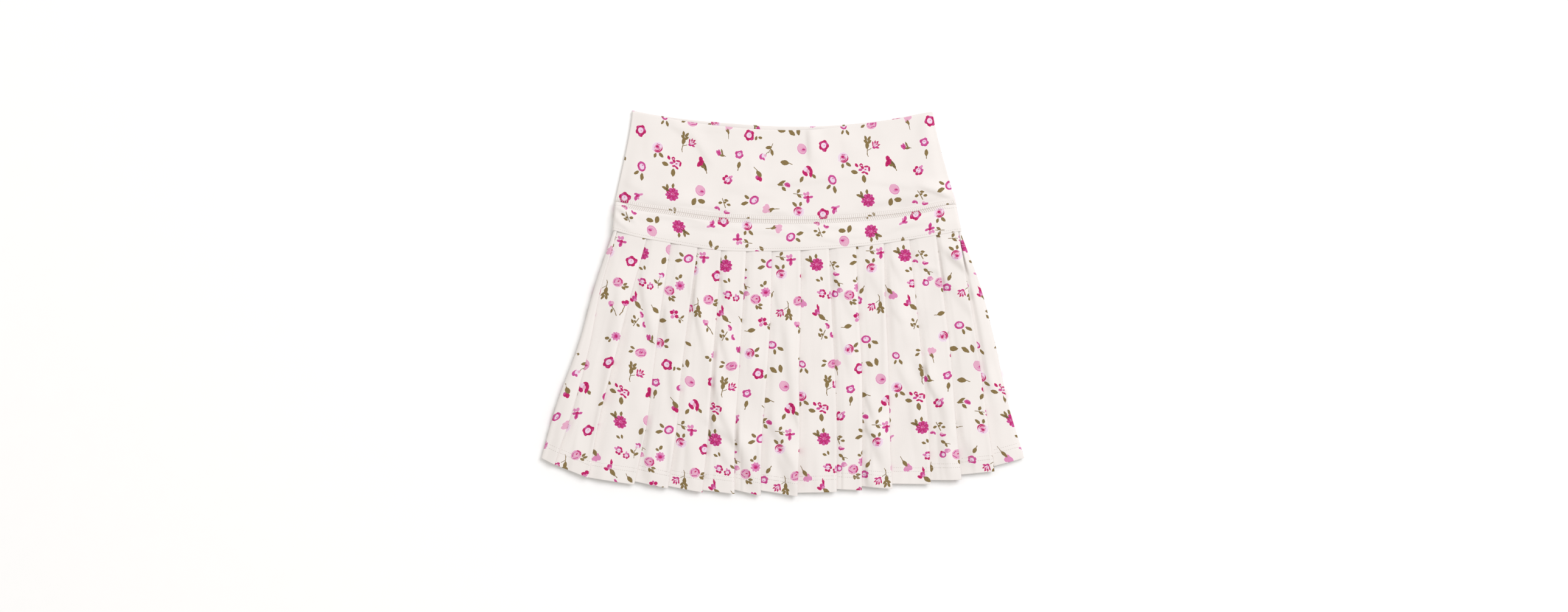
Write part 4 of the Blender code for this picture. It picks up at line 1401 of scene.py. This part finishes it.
def along_line(path, pitch, radius, out, inset=0.3):
    """Runs for a row of stitches along a line: each stitch, and the hole between it and the next.

    The pitch is eased a little, so that a whole number of stitches fills the line.
    """
    room = path_lengths(path)[-1] - 2 * inset
    count = max(round(room / pitch), 1)
    pitch = room / count
    begin = inset + pitch * np.arange(count)
    runs = []
    # A hole's run is marked dark: its thread gets the painted shade of the needle hole
    for (start, end, depth, thick), dark in ((TOP_STITCH, False), (HOLE, True)):
        sunk = np.array([0.0, 0.0, out * -radius * depth])
        ends = [path_at(path, begin + pitch * share) + sunk for share in (start, end)]
        runs.append((*ends, radius * thick, dark))
    return runs


# ---------------------------------------------------------------------------------------------
# Settings
# ---------------------------------------------------------------------------------------------


class SkortCloth(bpy.types.PropertyGroup):
    """Thicknesses of the cloth, the hem's height and the creases"""

    skirt_thickness: bpy.props.FloatProperty(
        name="Skirt thickness", description="Thickness of one layer of the skirt's knit",
        default=0.75 * MM, min=0.3 * MM, max=0.85 * MM,
        precision=4, subtype="DISTANCE", unit="LENGTH",
    )
    band_thickness: bpy.props.FloatProperty(
        name="Waistband thickness", description="Thickness of the waistband, which is double",
        default=1.8 * MM, min=0.8 * MM, max=2.0 * MM,
        precision=4, subtype="DISTANCE", unit="LENGTH",
    )
    yoke_thickness: bpy.props.FloatProperty(
        name="Yoke thickness", description="Thickness of the yoke's knit",
        default=0.75 * MM, min=0.4 * MM, max=1.1 * MM,
        precision=4, subtype="DISTANCE", unit="LENGTH",
    )
    hem: bpy.props.FloatProperty(
        name="Hem", description="Height of the upper hem row above the hem's edge",
        default=17.5 * MM, min=8.0 * MM, max=30.0 * MM,
        precision=4, subtype="DISTANCE", unit="LENGTH",
    )
    creases: bpy.props.FloatProperty(
        name="Creases", description="How deep the creases and waves are",
        default=1.0, min=0.0, max=1.5, subtype="FACTOR",
    )


class SkortPrint(bpy.types.PropertyGroup):
    """Colours of the cloth and of its three main inks"""

    ground: bpy.props.FloatVectorProperty(
        name="Ground", description="Colour of the printed knit between its flowers",
        default=(0.812, 0.776, 0.755), size=3, min=0.0, max=1.0, subtype="COLOR",
    )
    plain: bpy.props.FloatVectorProperty(
        name="Shorts", description="Colour of the plain knit of the shorts",
        default=(0.80, 0.76, 0.72), size=3, min=0.0, max=1.0, subtype="COLOR",
    )
    magenta: bpy.props.FloatVectorProperty(
        name="Magenta", description="Ink of the darker petals",
        default=tuple(srgb(INKS["magenta"])), size=3, min=0.0, max=1.0, subtype="COLOR",
    )
    orchid: bpy.props.FloatVectorProperty(
        name="Orchid", description="Ink of the lighter petals",
        default=tuple(srgb(INKS["orchid"])), size=3, min=0.0, max=1.0, subtype="COLOR",
    )
    olive: bpy.props.FloatVectorProperty(
        name="Olive", description="Ink of the leaves and stems",
        default=tuple(srgb(INKS["olive"])), size=3, min=0.0, max=1.0, subtype="COLOR",
    )


class SkortThread(bpy.types.PropertyGroup):
    """The sewing thread and its stitches"""

    radius: bpy.props.FloatProperty(
        name="Thread radius", description="Half the thickness of a stitch's thread",
        default=0.2 * MM, min=0.05 * MM, max=0.5 * MM,
        precision=5, subtype="DISTANCE", unit="LENGTH",
    )
    pitch: bpy.props.FloatProperty(
        name="Stitch pitch", description="Distance from one topstitch to the next",
        default=2.35 * MM, min=1.0 * MM, max=5.0 * MM,
        precision=4, subtype="DISTANCE", unit="LENGTH",
    )
    colour: bpy.props.FloatVectorProperty(
        name="Thread", description="Colour of the sewing thread",
        default=(0.74, 0.68, 0.64), size=3, min=0.0, max=1.0, subtype="COLOR",
    )


class SkortStage(bpy.types.PropertyGroup):
    """The camera and the lights"""

    camera_height: bpy.props.FloatProperty(
        name="Camera height", description="Height of the camera above the surface",
        default=3.963, min=1.0, max=10.0, subtype="DISTANCE", unit="LENGTH",
    )
    key: bpy.props.FloatProperty(
        name="Key light", description="Power of the strong light, beyond the waist on the right",
        default=190.0, min=0.0, max=2000.0, subtype="POWER", unit="POWER",
    )
    fill: bpy.props.FloatProperty(
        name="Fill light", description="Strength of the light from all round",
        default=0.67, min=0.0, max=3.0,
    )


def cloth_settings(context):
    """The settings in the measure that the functions here use: millimetres and linear colours."""
    cloth = context.scene.skort_cloth
    paint = context.scene.skort_print
    inks = {name: tuple(srgb(value)) for name, value in INKS.items()}
    inks.update(magenta=tuple(paint.magenta), orchid=tuple(paint.orchid), olive=tuple(paint.olive))
    return {
        "skirt": cloth.skirt_thickness / MM,
        "band": cloth.band_thickness / MM,
        "yoke": cloth.yoke_thickness / MM,
        "hem": cloth.hem / MM,
        "creases": cloth.creases,
        "ground": tuple(paint.ground),
        "plain": tuple(paint.plain),
        "inks": inks,
    }


# ---------------------------------------------------------------------------------------------
# Operators
# ---------------------------------------------------------------------------------------------

# The waistband: its rows are heights above the seam, close together at the two edges
BAND_HEIGHT = 95.0
BAND_ROWS = (
    *(95.0, 94.85, 94.55, 94.1, 93.4, 92.0), *np.linspace(88.0, 12.0, 34),
    *(9.5, 7.6, 6.3, 5.5, 5.0, 4.7, 4.45, 4.2, 3.95, 3.7, 3.3, 2.6, 1.8, 1.1, 0.6, 0.3, 0.1, 0.0),
)
GROOVE = 4.2  # the seam's groove above the band of flatlock stitches
BAND_HOLLOW = 1.7  # how far its sides curve in
BAND_RISE = (2.3, 5.3)
BAND_SETTLE = 14.0
BAND_PUFF = 1.4  # how far the soft waistband stands over its wall at the seam
GROOVE_LIP = 0.35  # the cloth's rise above the groove
GROOVE_DENT = (0.16, 0.7)
BAND_EDGE = 1.3  # the radius of its edges

# The yoke: its rows are distances from the seam, then from its lower edge
YOKE_HEIGHT = 30.0
YOKE_FROM_SEAM = (
    0.0, 0.1, 0.35, 0.8, 1.5, 2.5, 3.4, 4.0, 4.6, 5.6, 7.2, 9.2, 11.4, 13.6, 15.8, 18.0, 20.2, 22.2,
)
YOKE_FROM_EDGE = (6.0, 4.8, 3.9, 3.4, 3.0, 2.6, 2.1, 1.4, 0.8, 0.4, 0.12, 0.0)
YOKE_TURN = 2.6  # how far in from the side the yoke starts to turn down
YOKE_EDGE = 1.8  # the radius of its edges
YOKE_GAP = 0.1  # from the gap between the two yokes to the middle of the cloth
YOKE_HUG = 0.9  # how much of its edges' rounding lies on its outer side
YOKE_PRESS = 0.25  # how far its lower edge is pressed down
YOKE_DENT = (0.04, 0.8)  # how deep and wide its topstitching presses it in
YOKE_SWELL = 0.06  # how much thicker it is under the ladder
TOP_ROW = 3.0  # from the yoke's lower edge to its topstitching

SEAM_PINCH = (0.3, 0.3)  # how much thinner cloth is at the seam, and over what width
LEAST_FLOOR_GAP = 0.02

LADDER = 4.0  # how tall the ladder of threads is
LOCK_PITCH = 0.94  # the flatlock's pitch as a share of the topstitching's
COVER_CORD = (900, 0.8, 2.4, 0.36, 0.25)  # points, pitch, overlap, radius and how deep it lies
THREAD_SPREAD = 6  # points along a row of stitches for each column of the cloth
HEM_POINTS = 150  # points along a row of stitches on each pleat

SHEETS = {}  # the outer sheet of each piece, for the stitching that lies on it


def edge_spaced(count, near):
    """Shares from 0 to 1: even in the middle, and close together at both ends."""
    ends = np.array([0.0, near * 0.25, near * 0.6])
    return np.concatenate([ends, np.linspace(near, 1 - near, count), 1 - ends[::-1]])


class SKORT_OT_waistband(bpy.types.Operator):
    """The two sides of the waistband, from the fold at the top edge to the seam"""

    bl_idname = "skort.waistband"
    bl_label = "Waistband"

    def execute(self, context):
        """x = left + (right − left) × share across, with the sides hollowed by
        sin(π × share down^0.6), and y = the top curve + (the seam − the top) × share down."""
        s = cloth_settings(context)
        across = edge_spaced(150, 0.006)[None, :]
        above_seam = np.array(BAND_ROWS)[:, None]
        down = 1.0 - above_seam / BAND_HEIGHT
        for name, edge, front in (
            ("waistband_front_cloth", "front_edge", True),
            ("waistband_back_cloth", "back_edge", False),
        ):
            left, right = side_at(edge, down, 0), side_at(edge, down, 1)
            hollow = BAND_HOLLOW * np.sin(np.pi * down**0.6)
            x = left + hollow + (right - left - 2 * hollow) * across
            top = cross_height(edge, across)
            seam = cross_height("seam", across)
            y = top + (seam + SEAM / 2 - top) * down
            above = y - seam
            from_side = np.minimum(x - x[:, :1], x[:, -1:] - x)
            z = np.full(x.shape, BAND_WALL / 2)
            if front:
                z = z + self.front_height(x, y, above, down, from_side, s["creases"])
                drawn = BAND_DRAW[0] - BAND_DRAW[1] * above
                fabric = [BAND_CLOTH[0] + (x - BAND_MIDDLE) / drawn, BAND_CLOTH[1] - above]
            else:
                z = z - (BAND_WALL - s["band"]) / 2
                along = (x - BACK_BAND_MIDDLE) / BACK_BAND_DRAW
                fabric = [BACK_BAND_CLOTH[0] - along, BACK_BAND_CLOTH[1] - (top - y)]
            centre, fabric = np.stack([x, y, z], axis=2), np.stack(fabric, axis=2)
            half = s["band"] / 2 * rim_profile(np.minimum(from_side, down * BAND_HEIGHT), BAND_EDGE)
            half = half * (1.0 - SEAM_PINCH[0] * dent(above_seam, SEAM_PINCH[1]))
            if not front:
                centre, half, fabric = centre[:, ::-1], half[:, ::-1], fabric[:, ::-1]
            piece, sheet = printed_shell(name, centre, half, fabric, np.ones(x.shape[1]), True, s)
            SHEETS[name] = sheet
            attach(piece, BODY)
            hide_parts(name.replace("_cloth", ""))
        return {"FINISHED"}

    def front_height(self, x, y, above, down, from_side, creases):
        """The front's height over its wall: its rise towards the seam, its creases and ripple,
        which fade at its edges, and a lip and a groove, exp(−t²), above the flatlock stitches."""
        settled = ease(from_side / BAND_SETTLE)
        z = BAND_RISE[0] + (BAND_RISE[1] - BAND_RISE[0]) * down * settled
        z = z + BAND_PUFF * fade(down, PUFF_DOWN_FADE) * fade(from_side, PUFF_SIDE_FADE)
        clear = fade(from_side, BAND_SIDE_FADE) * fade(above, BAND_SEAM_FADE)
        clear = clear * fade(down, BAND_TOP_FADE)
        z = z + relief(x, y, BAND_CREASES, creases) * clear
        z = z + ripple(x, y, BAND_RIPPLE[0], BAND_RIPPLE[1] * creases) * clear
        over = above - GROOVE
        lip = GROOVE_LIP * fade(over, LIP_FADE) * fade(-above, LIP_TOP_FADE)
        groove = GROOVE_DENT[0] * dent(over, GROOVE_DENT[1])
        return z + (lip - groove) * fade(from_side, GROOVE_SIDE_FADE)


class SKORT_OT_yoke(bpy.types.Operator):
    """The two sides of the yoke, which laps over the top of the pleats"""

    bl_idname = "skort.yoke"
    bl_label = "Yoke"

    def execute(self, context):
        """Between its sides, y = the seam + (the lower edge − the seam) × share down. At each
        side it turns by (1 − cosine, sine) down to where the two yokes meet."""
        s = cloth_settings(context)
        heights = np.array(YOKE_HEIGHTS)
        from_seam = np.concatenate([YOKE_FROM_SEAM, YOKE_HEIGHT - np.array(YOKE_FROM_EDGE)])
        share = (from_seam / YOKE_HEIGHT)[:, None]
        from_seam = from_seam[:, None]
        below = from_seam - YOKE_HEIGHT
        across = np.linspace(0.0, 1.0, 150)[None, :]
        edge_left, edge_right = SIDES["yoke_edge"]
        for name, front in (("yoke_front_cloth", True), ("yoke_back_cloth", False)):
            out = 1.0 if front else -1.0
            left, right = (side_at("yoke_edge", 1 - share, side) for side in (0, 1))
            half = s["yoke"] / 2
            x = left + YOKE_TURN + (right - left - 2 * YOKE_TURN) * across
            seam = curve_at("seam", x)
            lane = np.clip((x - edge_left) / (edge_right - edge_left), 0, 1)
            edge = cross_height("yoke_edge", lane)
            y = seam - SEAM / 2 + (edge - seam + SEAM / 2) * share
            under = smooth(below, heights[:, 0], heights[:, 1]) if front else 0.0
            z = np.broadcast_to(under + half, x.shape).copy()
            if front:
                clear = fade(1 - share, YOKE_EDGE_FADE) * fade(from_seam, YOKE_SEAM_FADE)
                z += (YOKE_WALL - s["yoke"]) / 2
                z += relief(x, y, YOKE_CREASES, s["creases"]) * clear
                z += ripple(x, y, YOKE_RIPPLE[0], YOKE_RIPPLE[1] * s["creases"]) * clear
            meet = np.interp(below, heights[:, 0], heights[:, 2]) + out * (SEAM / 2 + YOKE_GAP)
            columns = [np.stack([x, y, z], axis=2)]
            for angle in SIDE_TURN[::-1]:
                c, sn = turned(angle)
                inset = half + (YOKE_TURN - half) * (1 - c)
                ends = [left + inset, y[:, :1], meet + (z[:, :1] - meet) * sn]
                columns.insert(0, np.stack(ends, axis=2))
                ends = [right - inset, y[:, -1:], meet + (z[:, -1:] - meet) * sn]
                columns.append(np.stack(ends, axis=2))
            centre = np.concatenate(columns, axis=1)
            x = centre[:, :, 0]
            along = YOKE_CLOTH[0] - (x - BAND_MIDDLE) / YOKE_DRAW
            if not front:
                along = along + BACK_YOKE_SHIFT
            down = curve_at("seam", x) - centre[:, :, 1]
            fabric = np.stack([along, YOKE_CLOTH[1] - down], axis=2)
            from_edge = -below + 0 * x
            wall = half * rim_profile(from_edge, YOKE_EDGE)
            centre[:, :, 2] -= out * YOKE_HUG * (half - wall)
            if front:
                centre[:, :, 2] -= YOKE_PRESS * (1.0 - fade(from_edge, YOKE_PRESS_FADE))
            wall = wall * (1.0 - SEAM_PINCH[0] * dent(from_seam, SEAM_PINCH[1]))
            wall = wall - YOKE_DENT[0] * dent(from_edge - TOP_ROW, YOKE_DENT[1])
            wall = wall + YOKE_SWELL * fade(-from_seam, LADDER_FADE)
            if not front:
                centre, wall, fabric = centre[:, ::-1], wall[:, ::-1], fabric[:, ::-1]
            weight = np.ones(centre.shape[1])
            piece, sheet = printed_shell(name, centre, wall, fabric, weight, False, s)
            SHEETS[name] = sheet
            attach(piece, BODY)
            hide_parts(name.replace("_cloth", ""))
        return {"FINISHED"}


class SKORT_OT_skirt(bpy.types.Operator):
    """The two pleated panels of the skirt"""

    bl_idname = "skort.skirt"
    bl_label = "Pleated skirt"

    def execute(self, context):
        """Each panel is a ribbon, as the function of that name works it out, and the back's is
        mirrored. A face's relief is (creases + ripples + lift) × its soft start."""
        s = cloth_settings(context)
        heights = np.array(SKIRT_HEIGHTS)
        for name, folds, front, spacing, creases, wave, share in (
            ("skirt_front_cloth", FRONT_FOLDS, True, 2.6, SKIRT_CREASES, SKIRT_RIPPLE, 1.0),
            ("skirt_back_cloth", back_folds(), False, 3.0, BACK_CREASES, BACK_RIPPLE,
             BACK_CREASE_SHARE),
        ):
            rows = skirt_rows(spacing, s["hem"])
            inner = np.interp(rows, heights[:, 0], heights[:, 2 if front else 1])
            meet = np.interp(rows, heights[:, 0], heights[:, 3])
            size = fade(rows, FACE_FADE) * share * s["creases"]

            def bumps(x, y, size=size, creases=creases, wave=wave):
                """The relief of a face, which fades in below the yoke."""
                ripples = ripple(x * RIPPLE_SQUEEZE[0], y * RIPPLE_SQUEEZE[1], *wave)
                return (relief(x, y, creases, 1.0) + FACE_LIFT + ripples) * size

            out = 1.0 if front else -1.0
            centre, cloth, weight, kinds = ribbon(folds, rows, inner, meet, out, s["skirt"], bumps)
            half = hem_wall(rows, centre.shape[1], s["skirt"], s["hem"])
            if not front:
                centre[:, :, 0] *= -1
                centre[:, :, 2] = np.maximum(centre[:, :, 2], half + LEAST_FLOOR_GAP)
            down = curve_at("yoke_edge", centre[:, :, 0]) - centre[:, :, 1]
            fabric = np.stack([SKIRT_CLOTH[0] + cloth, SKIRT_CLOTH[1] + down], axis=2)
            piece, sheet = printed_shell(name, centre, half, fabric, weight, False, s)
            SHEETS[name] = (sheet, rows, kinds)
            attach(piece, BODY)
            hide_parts(name.replace("_cloth", ""))
        return {"FINISHED"}


class SKORT_OT_shorts(bpy.types.Operator):
    """The four plain panels of the shorts, which the skirt hides"""

    bl_idname = "skort.shorts"
    bl_label = "Shorts"

    def execute(self, context):
        """x = centre ± (inner + (outer − inner) × share), and y = the yoke's edge − the
        distance below it."""
        s = cloth_settings(context)
        sizes = np.array(SHORTS)
        below = np.unique(np.concatenate([sizes[:, 0], np.arange(-28.0, 180.0, 6.0), [178.5]]))
        outer, inner, *levels = (
            np.interp(below, sizes[:, 0], sizes[:, column])[:, None] for column in (1, 2, 3, 4)
        )
        inner = inner + SEAM / 2
        share = edge_spaced(28, 0.01)[None, :]
        knit = knit_material("Shorts knit", s["plain"])
        for side, word in ((-1, "left"), (1, "right")):
            for level, where in zip(levels, ("back", "front"), strict=True):
                name = f"shorts_{where}_{word}_cloth"
                x = SHORTS_CENTRE + side * (inner + (outer - inner) * share)
                y = curve_at("yoke_edge", x) - below[:, None]
                z = np.broadcast_to(level + KNIT / 2, x.shape)
                centre, fabric = np.stack([x, y, z], axis=2), np.stack([x, -y], axis=2)
                half = SHORTS_HALF * rim_profile((sizes[-1, 0] - below)[:, None] + 0 * x, 0.7)
                if side < 0:
                    centre, half, fabric = centre[:, ::-1], half[:, ::-1], fabric[:, ::-1]
                piece = shell(name, centre, half, fabric, [knit])[0]
                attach(piece, BODY)
                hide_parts(name.replace("_cloth", ""))
        return {"FINISHED"}


class SKORT_OT_stitching(bpy.types.Operator):
    """Flatlock seam, yoke topstitching and the two rows round the hem"""

    bl_idname = "skort.stitching"
    bl_label = "Stitching"

    def execute(self, context):
        """Every row of stitches is laid along a line of the sheets that are already there."""
        thread = context.scene.skort_thread
        radius, pitch, colour = thread.radius / MM, thread.pitch / MM, tuple(thread.colour)
        hem = context.scene.skort_cloth.hem / MM
        for word in ("front", "back"):
            out = 1.0 if word == "front" else -1.0
            band, yoke = (SHEETS.get(f"{part}_{word}_cloth") for part in ("waistband", "yoke"))
            skirt = SHEETS.get(f"skirt_{word}_cloth")
            if band is None or yoke is None or skirt is None:
                raise RuntimeError("The waistband, the yoke and the skirt have to be built first")
            flatlock = self.flatlock(band, yoke, radius, pitch * LOCK_PITCH, out)
            stitches(f"flatlock_{word}", flatlock, colour)
            edge = self.row(yoke, TOP_ROW, True)
            stitches(f"yoke_stitches_{word}", along_line(edge, pitch, radius, out), colour)
            hem_runs = self.hem_rows(skirt, radius, pitch, out, hem)
            stitches(f"hem_stitches_{word}", hem_runs, colour)
        return {"FINISHED"}

    def row(self, sheet, distance, from_end):
        """Points along a sheet at a distance in from its top or lower edge, left to right."""
        rows, columns = sheet.shape[:2]
        fall = np.linalg.norm(np.diff(sheet, axis=0), axis=2).mean(axis=1)
        gone = np.concatenate([[0.0], np.cumsum(fall)])
        row = np.interp(gone[-1] - distance if from_end else distance, gone, np.arange(rows))
        count = columns * THREAD_SPREAD
        path = sample(sheet, np.full(count, row), np.linspace(0, columns - 1, count))
        return path if path[0, 0] < path[-1, 0] else path[::-1]

    def flatlock(self, band, yoke, radius, pitch, out):
        """The flatlock seam: dotted rows at the groove, the seam and the ladder's foot, a soft
        cord that covers the join, and threads across the ladder and across the band."""
        lower = self.row(yoke, LADDER, False)
        runs = [*along_line(self.row(band, GROOVE, True), pitch, radius * 0.8, out)]
        runs += along_line(self.row(band, 0.25, True), pitch, radius, out)
        runs += along_line(lower, pitch, radius, out)
        points, step, overlap, thick, deep = COVER_CORD
        join = even(self.row(band, 0.3, True), points) + even(self.row(yoke, 0.3, False), points)
        join = join / 2.0 - np.array([0.0, 0.0, out * deep])
        start, end = along_line(join, step, 0.0, out)[0][:2]
        runs.append((start, start + (end - start) * overlap, thick, False))
        count = int(np.linalg.norm(np.diff(lower, axis=0), axis=1).sum() / pitch)
        lift = np.array([0.0, 0.0, out * radius * 0.1])
        for paths, thick in (
            ((self.row(band, 1.0, True), self.row(yoke, LADDER - 0.4, False)), 1.8),
            ((self.row(band, GROOVE - 0.2, True), self.row(band, 1.1, True)), 1.5),
        ):
            ends = [even(path, count)[1:-1] + lift for path in paths]
            runs.append((*ends, radius * thick, False))
        return runs

    def hem_rows(self, skirt, radius, pitch, out, hem):
        """Two rows on the part of each pleat that shows."""
        sheet, rows, kinds = skirt
        shown = np.nonzero(kinds == "face")[0]
        runs = []
        for above in (hem, hem - HEM_GAP):
            row = np.interp(SKIRT_DROP - above, rows, np.arange(len(rows)))
            for part in np.split(shown, np.nonzero(np.diff(shown) > 1)[0] + 1):
                columns = np.linspace(part[0], part[-1], HEM_POINTS)
                line = sample(sheet, np.full(HEM_POINTS, row), columns)
                runs += along_line(line, pitch, radius, out)
        return runs


FLOOR_HALF = 6.0  # metres from the floor's middle to its edge
FLOOR_DROP = 0.0004  # metres below the garment
LIGHT_COLOUR = (0.963, 0.972, 1.0)
ROOM_COLOUR = (1.0, 0.96, 0.908, 1.0)
KEY_LIGHT = ((2.5, 2.0, 5.0), 3.4)  # place and width, in metres
SIDE_LIGHT = ((-2.4, 2.4, 5.2), 3.0)
SIDE_POWER = 0.1  # the side light's share of the key's power
CAMERA_SPOT = (0.0014, -0.0029)


class SKORT_OT_stage(bpy.types.Operator):
    """Pale floor, soft lights and the camera straight above"""

    bl_idname = "skort.stage"
    bl_label = "Stage"

    def execute(self, context):
        """A floor, a strong light and a weak one, an even room light and the camera."""
        scene, settings = context.scene, context.scene.skort_stage
        self.floor(scene)
        self.disk(scene, "key", *KEY_LIGHT, settings.key)
        self.disk(scene, "side", *SIDE_LIGHT, settings.key * SIDE_POWER)

        world = bpy.data.worlds.new("Soft light")
        world.use_nodes = True
        backdrop = world.node_tree.nodes["Background"]
        backdrop.inputs["Color"].default_value = ROOM_COLOUR
        backdrop.inputs["Strength"].default_value = settings.fill
        scene.world = world
        scene.view_settings.view_transform = "Standard"
        scene.view_settings.look = "None"

        data = bpy.data.cameras.new("camera")
        data.lens = 85.0
        data.sensor_width = 36.0
        data.clip_start = 0.1
        data.clip_end = 50.0
        camera = bpy.data.objects.new("camera", data)
        camera.location = (*CAMERA_SPOT, settings.camera_height)
        scene.collection.objects.link(camera)
        scene.camera = camera
        return {"FINISHED"}

    def floor(self, scene):
        """A wide square floor in a pale tone that a noise varies a little."""
        mesh = bpy.data.meshes.new("floor")
        h = FLOOR_HALF
        corners = [(-h, -h, 0.0), (h, -h, 0.0), (h, h, 0.0), (-h, h, 0.0)]
        mesh.from_pydata(corners, [], [(0, 1, 2, 3)])
        floor = bpy.data.objects.new("floor", mesh)
        scene.collection.objects.link(floor)
        floor.location.z = -FLOOR_DROP
        material, tree, shader = new_material("Pale floor")
        grain = noise(tree, -500, 0, node(tree, "TexCoord", -700, 0).outputs["Object"], 40.0)["Fac"]
        low, high = (0.955, 0.96, 0.965, 1.0), (0.97, 0.975, 0.98, 1.0)
        tone = mixed(tree, -250, 0, grain, low, high)
        ends = {"Base Color": tone, "Roughness": 0.9, "Specular IOR Level": 0.1}
        set_inputs(tree, shader, ends)
        mesh.materials.append(material)

    def disk(self, scene, name, place, size, power):
        """A round soft light that faces the garment's middle."""
        data = bpy.data.lights.new(name, "AREA")
        data.shape = "DISK"
        data.size = size
        data.energy = power
        data.color = LIGHT_COLOUR
        lamp = bpy.data.objects.new(name, data)
        lamp.location = place
        lamp.rotation_euler = (-Vector(place)).to_track_quat("-Z", "Y").to_euler()
        scene.collection.objects.link(lamp)


class SKORT_PT_panel(bpy.types.Panel):
    """The skort's settings and its operators, in the 3D view's sidebar"""

    bl_label = "Skort"
    bl_idname = "SKORT_PT_panel"
    bl_space_type = "VIEW_3D"
    bl_region_type = "UI"
    bl_category = "Skort"

    def draw(self, context):
        """Every setting of every group, and then a button for each operator."""
        layout = self.layout
        for name, group in GROUPS.items():
            column = layout.column(align=True)
            for setting in group.__annotations__:
                column.prop(getattr(context.scene, name), setting)
        for operator in OPERATORS:
            layout.operator(operator.bl_idname)


GROUPS = {
    "skort_cloth": SkortCloth,
    "skort_print": SkortPrint,
    "skort_thread": SkortThread,
    "skort_stage": SkortStage,
}
OPERATORS = (
    SKORT_OT_waistband,
    SKORT_OT_yoke,
    SKORT_OT_skirt,
    SKORT_OT_shorts,
    SKORT_OT_stitching,
    SKORT_OT_stage,
)


def register():
    """Adds the settings, the operators and the panel."""
    for name, group in GROUPS.items():
        bpy.utils.register_class(group)
        setattr(bpy.types.Scene, name, bpy.props.PointerProperty(type=group))
    for item in (*OPERATORS, SKORT_PT_panel):
        bpy.utils.register_class(item)


def unregister():
    """Takes them away again."""
    for item in (SKORT_PT_panel, *reversed(OPERATORS)):
        bpy.utils.unregister_class(item)
    for name, group in GROUPS.items():
        delattr(bpy.types.Scene, name)
        bpy.utils.unregister_class(group)


def main():
    """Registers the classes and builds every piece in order."""
    register()
    bpy.ops.skort.waistband()
    bpy.ops.skort.yoke()
    bpy.ops.skort.skirt()
    bpy.ops.skort.shorts()
    bpy.ops.skort.stitching()
    bpy.ops.skort.stage()


if __name__ == "__main__":
    main()
